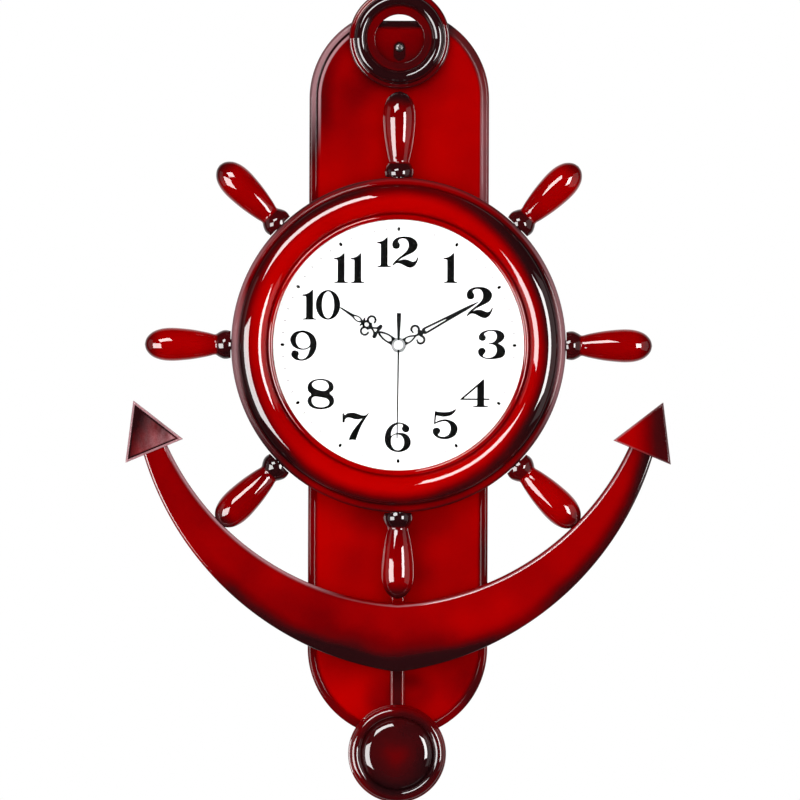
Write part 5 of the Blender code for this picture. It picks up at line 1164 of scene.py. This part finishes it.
def ink(name, colour):
    finish = Finish(name)
    cover = finish.noise(500.0, 4.0)
    thin = tuple(min(1.0, part * 1.4 + 0.002) for part in colour)
    return finish.cover(finish.blend(cover.fade(0.55, 0.85), colour, thin), cover, 0.32, 0.48,
                        Specular_IOR_Level=0.03, Normal=finish.relief(cover, 0.000008))


class CLOCK_OT_dial(bpy.types.Operator):
    """Turn the dial, draw its numerals and print the hour dots and minute marks"""
    bl_idname = "ship_clock.dial"
    bl_label = "Dial"

    def execute(self, context):
        settings = context.scene.clock_dial
        front, back = DIAL_FRONT + settings.print_depth / MM, DIAL_FRONT - 0.02
        edge = 0.1
        profile = [(DIAL_BORE, DIAL_BACK), (DIAL_RADIUS, DIAL_BACK), (DIAL_RADIUS, DIAL_FRONT - edge),
                   (DIAL_RADIUS - edge, DIAL_FRONT), (DIAL_BORE + edge, DIAL_FRONT),
                   (DIAL_BORE, DIAL_FRONT - edge)]
        mount(lathe("printed_dial", profile, 128), ROOT, "white_dial", dial_paper("dial_paper"), "dial")

        unit = settings.numeral_height / MM / GRID_HEIGHT
        loops = [without_doubles(loop) for digit, x, z in NUMERALS for loop in digit_loops(digit, x, z, unit)]
        black = ink("printing_ink", tuple(settings.ink))
        mount(slab("numerals", loops, back, front), ROOT, "white_dial", black)

        radius = settings.mark_radius / MM
        dots = slab("hour_dots", [oval(0.0, radius, 1.1, 1.5, 20)], back, front)
        self.copy_round(dots, range(1, 12), 30.0)
        mount(dots, ROOT, "white_dial", black)
        marks = slab("minute_marks", [oval(0.0, radius, 0.45, 1.2, 10)], back, front)
        turn_mesh(marks, 6.0)
        self.copy_round(marks, [i for i in range(1, 59) if i % 5 != 4], 6.0)
        mount(marks, ROOT, "white_dial", ink("pale_ink", (0.44, 0.425, 0.43)))
        return {"FINISHED"}

    def copy_round(self, mark, places, step):
        """Turn copies of a mark about the dial's centre and join them to it."""
        copies = []
        for i in places:
            copies.append(copy_of(mark, "mark_copy_%d" % i))
            turn_mesh(copies[-1], step * i)
        activate(mark)
        for made in copies:
            made.select_set(True)
        bpy.ops.object.join()


def window_glass(name):
    """Clear glass that lets the lamps through to the dial."""
    finish = Finish(name)
    dust = finish.noise(300.0, 4.0)
    finish.set(Base_Color=(1.0, 1.0, 1.0), Roughness=dust.fade(0.5, 0.9, 0.0, 0.03),
               Transmission_Weight=1.0, IOR=1.45)
    shadow = finish.node("ShaderNodeLightPath", output="Is Shadow Ray")
    clear = finish.node("ShaderNodeBsdfTransparent", {0: (0.97, 0.98, 0.975)})
    glass = Value(finish, finish.shader.outputs[0])
    mixed = finish.node("ShaderNodeMixShader", {0: shadow, 1: glass, 2: clear})
    output = next(node for node in finish.tree.nodes if node.type == "OUTPUT_MATERIAL")
    finish.put(output.inputs["Surface"], mixed)
    return finish.material


class CLOCK_OT_glass(bpy.types.Operator):
    """Turn the glass with its ground edge"""
    bl_idname = "ship_clock.glass"
    bl_label = "Glass"

    def execute(self, context):
        glass = disc("window_glass", 96.2, 46.3, 48.4, 0.4, 128)
        mount(glass, ROOT, "clear_glass", window_glass("window_glass"), "glass_lens")
        return {"FINISHED"}


# Hands, in hundredths of each hand's length

def minute_hand_loops(unit):
    half = arc(0.0, 0.0, 4.9 / unit, -90.0, 58.0, 14)
    half += bend([(3.87, 10.8), (3.5, 14.5), (2.34, 18.0), (1.17, 20.7), (1.1, 22.6),
                  (1.39, 24.1)])
    half += arc(6.2, 23.5, 2.9, 140.0, -100.0, 18)
    half += arc(5.2, 20.2, 1.3, 150.0, 300.0, 5)
    half += arc(6.2, 23.5, 5.3, -72.0, 122.0, 18)
    half += bend([(1.95, 29.1), (3.1, 30.6), (3.6, 33.3), (3.15, 45.0), (2.45, 61.3), (1.6, 85.7),
                  (0.0, 100.0)])
    leaf = mirrored(bend([(0.0, 8.6), (1.9, 10.0), (2.2, 12.3), (1.45, 15.5), (0.0, 18.9)]))
    slot = mirrored(bend([(0.0, 32.6), (1.0, 33.0, 1), (1.45, 34.6), (0.9, 46.0), (0.3, 57.0),
                          (0.0, 57.6)]))
    return half, [leaf, slot]


def hour_hand_loops(unit):
    half = arc(0.0, 0.0, 5.2 / unit, -90.0, 56.0, 14)
    half += bend([(6.0, 16.6), (5.6, 23.5), (3.7, 30.3), (1.9, 34.2, 1), (5.5, 33.4), (9.4, 33.4),
                  (11.2, 35.4), (10.6, 37.8), (7.6, 38.9), (4.7, 40.2), (2.2, 44.4), (2.15, 46.2)])
    half += arc(9.4, 51.7, 4.0, 215.0, -95.0, 20)
    half += arc(8.9, 46.4, 1.6, 150.0, 300.0, 5)
    half += arc(9.4, 51.7, 7.0, -66.0, 120.0, 18)
    half += bend([(3.9, 58.8), (5.6, 60.6), (8.2, 61.2, 1), (5.4, 62.6), (2.3, 62.4), (3.4, 65.4),
                  (4.1, 69.2), (3.4, 74.2), (2.3, 78.0), (1.5, 90.0), (1.1, 98.2), (0.0, 100.0)])
    leaf = mirrored(bend([(0.0, 12.0), (2.9, 14.2), (3.6, 18.0), (2.7, 24.6), (0.0, 31.2)]))
    heart = mirrored(bend([(0.0, 37.6), (2.0, 37.9), (2.1, 39.4), (0.0, 43.2)]))
    ring = oval(0.0, 54.4, 3.0, 3.3, 20)
    bud = mirrored(bend([(0.0, 64.6), (2.0, 67.0), (2.3, 70.0), (1.5, 73.4), (0.0, 76.0)]))
    return half, [leaf, heart, ring, bud]


def second_hand_loops(unit):
    tail = 23.5 / unit
    half = [(2.4, -tail), (2.3, -tail * 0.8), (1.1, -4.9)]
    half += arc(0.0, 0.0, 4.7, -72.0, 76.0, 14)
    half += [(1.0, 5.9), (0.66, 100.0)]
    return half, []


def satin_black(name):
    finish = Finish(name)
    grain = finish.noise(800.0, 4.0)
    cloud = finish.noise(120.0, 3.0)
    colour = finish.blend(cloud, (0.0015, 0.0015, 0.0015), (0.006, 0.006, 0.0065))
    return finish.cover(colour, cloud, 0.26, 0.42, Specular_IOR_Level=0.08,
                        Normal=finish.relief(grain, 0.000006))


HAND_THICKNESS = 0.4


class CLOCK_OT_hands(bpy.types.Operator):
    """Cut the three hands and turn the cap over them"""
    bl_idname = "ship_clock.hands"
    bl_label = "Hands"

    def execute(self, context):
        black = satin_black("satin_black")
        for name, body, length, loops, bore, depth, turn in (
                ("hour_hand", "hour_drive", 51.1, hour_hand_loops, 2.7, 42.0, -57.4),
                ("minute_hand", "minute_drive", 68.5, minute_hand_loops, 1.8, 43.3, 61.5),
                ("second_hand", "seconds_train", 68.2, second_hand_loops, 0.0, 44.6, 180.7)):
            unit = length / 100
            half, holes = loops(unit)
            outlines = [without_doubles([(x * unit, z * unit) for x, z in loop])
                        for loop in [mirrored(half)] + holes]
            if bore:
                outlines.append(oval(0.0, 0.0, bore, bore, 24))
            hand = slab("cut_" + name, outlines, depth, depth + HAND_THICKNESS)
            soften(hand, 0.07, 50.0)
            turn_mesh(hand, -turn)
            if name == "second_hand":
                profile = [(0.0, 45.0), (3.45, 45.0), (3.45, 45.4)] + arc(2.85, 45.3, 0.6, 0.0, 90.0, 6)
                profile += [(1.5, 45.95), (0.0, 45.96)]
                cap = lathe("hand_cap", profile, 64)
                mount(cap, body, "steel", pearl())
            mount(hand, body, "black_hand", black, name)
        washer = disc("hub_washer", 4.9, 43.7, 44.3, 0.2, 48, bore=1.9)
        mount(washer, "minute_drive", "steel", shared("satin_nickel", satin_nickel))
        return {"FINISHED"}


class CLOCK_OT_pendulum(bpy.types.Operator):
    """Model the rod and turn the two halves of the bob"""
    bl_idname = "ship_clock.pendulum"
    bl_label = "Pendulum"

    def execute(self, context):
        right = [(ROD_HALF_WIDTH, ROD_BOTTOM), (ROD_HALF_WIDTH, ROD_TOP)]
        rod = block("lacquered_rod", mirrored(right), ROD_BACK, ROD_FRONT)
        bevel(lambda corners: at_depth(ROD_FRONT)(corners)
              and abs(corners[0].x - corners[1].x) < MERGE, 1.9, 4)
        close_mesh(rod)
        combine(rod, [box("tongue", -2.6, 2.6, 20.9, 22.7, -82.0, -66.3)], "UNION")
        look = lacquer("rod_lacquer", rod_darkness, gloss=rod_gloss)
        mount(rod, "pendulum", "dark_lacquer", look, "pendulum_rod")

        dome = [(0.0, 34.0), (6.0, 33.92), (12.0, 33.65), (17.0, 33.2), (20.5, 32.6), (23.2, 31.5),
                (25.1, 30.0), (26.3, 28.2), (27.1, 27.3)]
        profile = bend(dome)
        profile += arc(30.7, 28.0, 4.0, 165.0, 12.0, 20)
        profile += [(34.9, 28.0), (35.5, 27.7), (35.9, 27.0), (36.0, 26.0), (36.0, 23.8), (34.0, 23.8)]
        profile += [(31.0, 29.5), (26.0, 25.0), (13.0, 30.0), (0.0, 32.0)]
        bob = lathe("lacquered_bob", profile, 96, BOB_CENTRE)
        look = lacquer("bob_lacquer", bob_darkness, gloss_depth=25.5)
        mount(bob, "pendulum", "dark_lacquer", look, "bob_front")

        plate = disc("bob_plate", 33.5, 20.4, 23.5, 0.4, 72, BOB_CENTRE)
        half = ROD_HALF_WIDTH + ROD_ROOM
        combine(plate, [box("channel", -half, half, 19.0, 25.0, ROD_BOTTOM - ROD_ROOM, BOB_CENTRE + 40.0)],
                "DIFFERENCE")
        look = moulding("plate_black", (0.02, 0.006, 0.007), 0.4)
        mount(plate, "pendulum", "dark_lacquer", look, "bob_back")
        return {"FINISHED"}


SCREWS = ("ring_screw_1", "ring_screw_2", "board_screw_1", "board_screw_2", "anchor_screw_1",
          "anchor_screw_2", "case_screw_1", "case_screw_2", "case_screw_3", "case_screw_4", "hanger_screw")

# Rise of the pattern screw's head, length of its shank and where the shank's point begins, in millimetres
HEAD_RISE = 1.8
SHANK = 9.4
POINT_START = 8.0


class CLOCK_OT_screws(bpy.types.Operator):
    """Turn one cross-head screw and copy it to every place"""
    bl_idname = "ship_clock.screws"
    bl_label = "Screws"

    def execute(self, context):
        # The pattern screw has its bearing face at depth 0 and its head towards the wall
        profile = [(0.0, -HEAD_RISE), (1.4, -1.75), (2.5, -1.4), (3.1, -0.8), (3.3, 0.0), (1.3, 0.0),
                   (1.3, POINT_START), (0.0, SHANK)]
        pattern = lathe("screw_pattern", profile, 32)
        slots = [box("slot_1", -1.5, 1.5, -2.5, -0.9, -0.28, 0.28),
                 box("slot_2", -0.28, 0.28, -2.5, -0.9, -1.5, 1.5)]
        combine(pattern, slots, "DIFFERENCE")
        bright = steel()
        for node in SCREWS:
            low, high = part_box(node)
            screw = copy_of(pattern, "cross_" + node)
            stretch = (high.y - low.y) / MM - HEAD_RISE - SHANK
            bpy.ops.object.mode_set(mode="EDIT")
            pick("VERT", lambda corners: corners[0].y < (NEAR - POINT_START) * MM)
            bpy.ops.transform.translate(value=(0.0, -stretch * MM, 0.0))
            bpy.ops.object.mode_set(mode="OBJECT")
            middle = (low + high) / 2
            end, look = high.y - HEAD_RISE * MM, bright
            if node == "hanger_screw":
                # This one alone has its head to the front
                turn_mesh(screw, 180.0, "X")
                end = low.y + HEAD_RISE * MM
                # A darker steel than the other screws
                look = metal("dark_steel", (0.14, 0.13, 0.13), 0.38)
            move_mesh(screw, Vector((middle.x, end, middle.z - DIAL_Z)))
            mount(screw, ROOT, "steel", look, node)
        bpy.data.objects.remove(pattern, do_unlink=True)
        return {"FINISHED"}


def cell_wrap(name):
    """A printed sleeve with a dark body and a copper-coloured end, and no lettering."""
    low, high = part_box("battery")
    finish = Finish(name)
    share = finish.node("ShaderNodeMapRange", {"Value": finish.x, "From Min": low.x, "From Max": high.x},
                        output="Result")
    scuff = finish.noise(240.0, 4.0, (1.0, 3.0, 3.0))
    black = (0.03, 0.03, 0.034)
    colour = finish.ramp(share, [(0.0, (0.6, 0.6, 0.62)), (0.02, black), (0.66, black),
                                 (0.67, (0.62, 0.3, 0.1))])
    colour = finish.blend(scuff.fade(0.62, 0.8, 0.0, 0.35), colour, (0.3, 0.28, 0.26))
    return finish.cover(colour, scuff, 0.22, 0.4, Metallic=0.3, Normal=finish.relief(scuff, 0.000015),
                        Coat_Weight=0.4, Coat_Roughness=0.1)


# Radius of the cell, and its length, in the shape below
CELL_RADIUS = 7.1
CELL_LENGTH = 50.5
CELL_SHAPE = ((0.0, 0.0), (5.6, 0.0), (6.1, 0.15), (6.5, 0.4), (6.9, 0.3), (CELL_RADIUS, 0.6),
              (CELL_RADIUS, 48.6), (6.9, 49.0), (6.4, 49.0), (6.0, 48.8), (2.9, 48.8), (2.7, 49.4),
              (2.6, 50.1), (2.2, 50.4), (0.0, CELL_LENGTH))


class CLOCK_OT_battery(bpy.types.Operator):
    """Turn the cell with its sleeve, rim and nub"""
    bl_idname = "ship_clock.battery"
    bl_label = "Battery"

    def execute(self, context):
        low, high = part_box("battery")
        middle = (low + high) / 2
        radius = (high.z - low.z) / 2
        points = [Vector((low.x + along / CELL_LENGTH * (high.x - low.x), middle.y,
                          middle.z + out / CELL_RADIUS * radius)) for out, along in CELL_SHAPE]
        cell = turned("sleeved_cell", points, 48, middle, (1.0, 0.0, 0.0))
        mount(cell, "cell", "battery_sleeve", cell_wrap("cell_wrap"), "battery")
        return {"FINISHED"}


def winding(name):
    """Enamelled copper wire wound in close turns."""
    finish = Finish(name)
    turns = finish.node("ShaderNodeTexWave", {"Vector": finish.coordinates, "Scale": 1400.0,
                                              "Distortion": 0.6, "Detail": 2.0},
                        output=1, bands_direction="Y")
    finish.set(Base_Color=finish.blend(turns, (0.28, 0.08, 0.02), (0.72, 0.32, 0.12)), Metallic=0.9,
               Roughness=turns.fade(0.0, 1.0, 0.3, 0.5), Normal=finish.relief(turns, 0.00004))
    return finish.material


def circuit_green(name):
    """Solder resist with tracks under it."""
    finish = Finish(name)
    tracks = finish.node("ShaderNodeTexBrick", {"Vector": finish.coordinates, "Scale": 420.0,
                                                "Mortar Size": 0.03}, output="Fac")
    grain = finish.noise(900.0, 3.0)
    return finish.cover(finish.blend(tracks, (0.02, 0.16, 0.05), (0.05, 0.3, 0.1)), grain, 0.25, 0.45,
                        Normal=finish.relief(tracks, 0.00002))


class CLOCK_OT_movement(bpy.types.Operator):
    """Give the movement, the case back and the hanger their materials"""
    bl_idname = "ship_clock.movement"
    bl_label = "Movement and case back"

    def execute(self, context):
        looks = (
            (moulding("case_black", (0.028, 0.027, 0.028), 0.5, 0.00006), ("case_back",)),
            (moulding("moulded_black", (0.02, 0.02, 0.021), 0.42),
             ("movement_base", "set_knob", "cannon_pinion", "hour_wheel", "motion_wheel")),
            (moulding("moulded_white", (0.78, 0.78, 0.75), 0.4, 0.00002, 0.04),
             ("movement_cover", "dial_spacer", "centre_wheel", "third_wheel", "intermediate_wheel",
              "second_arbor", "rotor", "pendulum_hanger")),
            (moulding("soft_rubber", (0.03, 0.03, 0.03), 0.8), ("gasket",)),
            (winding("copper_winding_look"), ("motor_coil", "drive_coil")),
            (circuit_green("circuit_green_look"), ("circuit_board",)),
            (pearl(), ("mounting_nut",)),
            (steel(), ("hanger_plate", "stator_plate", "battery_spring", "battery_contact", "pivot_pin",
                       "hanger_magnet")))
        for look, nodes in looks:
            for node in nodes:
                dress(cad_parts[node], look)
        return {"FINISHED"}


# Stage

def soft_box(name, azimuth, elevation, distance, width, height, power, roll=0.0):
    """A lamp seen from the clock at an angle from the camera's line."""
    across, up = math.radians(azimuth), math.radians(elevation)
    direction = Vector((math.sin(across) * math.cos(up), -math.cos(across) * math.cos(up), math.sin(up)))
    deselect()
    bpy.ops.object.light_add(type="AREA", location=AIM + direction * distance)
    lamp = bpy.context.object
    lamp.name = name
    lamp.data.shape = "RECTANGLE"
    lamp.data.size, lamp.data.size_y = width, height
    lamp.data.energy = power
    lamp.rotation_mode = "QUATERNION"
    lamp.rotation_quaternion = direction.to_track_quat("Z", "Y")
    lamp.rotation_mode = "XYZ"
    lamp.rotation_euler.rotate_axis("Z", math.radians(roll))
    lamp.visible_camera = False
    return lamp


def light_world(ambient):
    """White for the camera, glass and what glossy edges see behind the clock; even light otherwise."""
    world = bpy.data.worlds.new("studio")
    bpy.context.scene.world = world
    world.use_nodes = True
    nodes = Nodes(world.node_tree)
    sky = nodes.node("ShaderNodeTexCoord", output="Generated")
    behind = nodes.node("ShaderNodeSeparateXYZ", {0: sky}, output=1).fade(0.30, 0.97, 0.0, 0.9)
    level = ambient
    for ray, seen in (("Is Glossy Ray", behind), ("Is Transmission Ray", behind), ("Is Camera Ray", 1.0)):
        level = nodes.mix(nodes.node("ShaderNodeLightPath", output=ray), level, seen)
    background = nodes.tree.nodes["Background"]
    nodes.put(background.inputs["Color"], (1.0, 1.0, 1.0))
    nodes.put(background.inputs["Strength"], level)


def floor_finish(name):
    """Pale floor that fades out at its edge."""
    finish = Finish(name)
    grain = finish.noise(40.0, 4.0)
    colour = finish.blend(grain, (0.88, 0.88, 0.88), (0.94, 0.94, 0.94))
    return finish.cover(colour, grain, 0.7, 0.9,
                        Alpha=finish.length(finish.x, finish.y).fade(0.45, 0.95, 1.0, 0.0))


# The floor's height and what the lamps and the camera are aimed at, in metres
FLOOR_HEIGHT = -0.62
AIM = Vector((0.0, -0.04, -0.25))
BOX_DISTANCE = 2.6
FILL_DISTANCE = 3.2
SENSOR = 36.0
VIEW_WIDTH = 0.5868

# The camera's place right of the clock's middle and below the dial's, in millimetres, and its roll
CAMERA_ASIDE = 1.25
CAMERA_BELOW = 40.3
CAMERA_ROLL = math.radians(0.2)


class CLOCK_OT_stage(bpy.types.Operator):
    """Add the floor, the lamps, the world and the camera"""
    bl_idname = "ship_clock.stage"
    bl_label = "Stage"

    def execute(self, context):
        settings = context.scene.clock_stage
        deselect()
        bpy.ops.mesh.primitive_circle_add(vertices=64, radius=1.0, fill_type="NGON")
        floor = bpy.context.object
        floor.name = floor.data.name = "floor"
        move_mesh(floor, (0.0, 0.0, FLOOR_HEIGHT))
        dress(floor, floor_finish("pale_floor"))
        floor.visible_glossy = False

        # The boxes give the long highlights, the fill gives the light that colours are seen by
        for name, azimuth, elevation, width, height, power, roll in (
                ("left_box", -47.0, -9.0, 1.60, 1.50, 0.72, 0.0),
                ("right_box", 39.0, 2.0, 0.80, 1.35, 1.0, 0.0),
                ("upper_box", -23.0, 30.0, 1.35, 0.90, 0.8, 26.0),
                ("left_wash", -84.0, 0.0, 1.40, 2.60, 0.02, 0.0),
                ("right_wash", 74.0, 0.0, 2.20, 2.60, 0.03, 0.0)):
            lamp = soft_box(name, azimuth, elevation, BOX_DISTANCE, width, height,
                            power * settings.lamp_power * width * height, roll)
            lamp.visible_diffuse = False
        for name, azimuth, elevation, size, share in (
                ("front_fill", -2.0, 12.0, 3.8, 1.0), ("back_fill", 172.0, 24.0, 2.4, 0.42)):
            lamp = soft_box(name, azimuth, elevation, FILL_DISTANCE, size, size, share * settings.fill_power)
            lamp.visible_glossy = lamp.visible_transmission = False
        light_world(settings.ambient)

        distance = settings.camera_distance
        bpy.ops.object.camera_add(location=(CAMERA_ASIDE * MM, -distance, DIAL_Z - CAMERA_BELOW * MM),
                                  rotation=(math.pi / 2, 0.0, 0.0))
        camera = bpy.context.object
        camera.name = "photo_camera"
        camera.data.sensor_width = SENSOR
        camera.data.lens = SENSOR * (distance + AIM.y) / VIEW_WIDTH
        camera.data.clip_end = 50.0
        camera.rotation_euler.rotate_axis("Z", CAMERA_ROLL)
        context.scene.camera = camera
        context.scene.view_settings.view_transform = "Standard"
        return {"FINISHED"}


class CLOCK_PT_panel(bpy.types.Panel):
    """Builds the clock's pieces"""
    bl_idname = "CLOCK_PT_panel"
    bl_label = "Ship wheel clock"
    bl_space_type = "VIEW_3D"
    bl_region_type = "UI"
    bl_category = "Ship Clock"

    def draw(self, context):
        layout = self.layout
        for operator in OPERATORS:
            layout.operator(operator.bl_idname)
        for group in (context.scene.clock_lacquer, context.scene.clock_dial, context.scene.clock_stage):
            box_layout = layout.box()
            for key in group.__annotations__:
                box_layout.prop(group, key)


OPERATORS = (CLOCK_OT_back_board, CLOCK_OT_top_ring, CLOCK_OT_wheel_bezel, CLOCK_OT_handles,
             CLOCK_OT_anchor_arms, CLOCK_OT_flukes, CLOCK_OT_dial, CLOCK_OT_glass, CLOCK_OT_hands,
             CLOCK_OT_pendulum, CLOCK_OT_screws, CLOCK_OT_battery, CLOCK_OT_movement, CLOCK_OT_stage)
GROUPS = (LacquerSettings, DialSettings, StageSettings)


def register():
    for made in GROUPS + OPERATORS + (CLOCK_PT_panel,):
        bpy.utils.register_class(made)
    bpy.types.Scene.clock_lacquer = PointerProperty(type=LacquerSettings)
    bpy.types.Scene.clock_dial = PointerProperty(type=DialSettings)
    bpy.types.Scene.clock_stage = PointerProperty(type=StageSettings)


def unregister():
    for name in ("clock_stage", "clock_dial", "clock_lacquer"):
        delattr(bpy.types.Scene, name)
    for made in reversed(GROUPS + OPERATORS + (CLOCK_PT_panel,)):
        bpy.utils.unregister_class(made)


def main():
    register()
    for operator in OPERATORS:
        group, name = operator.bl_idname.split(".")
        getattr(getattr(bpy.ops, group), name)()


if __name__ == "__main__":
    main()
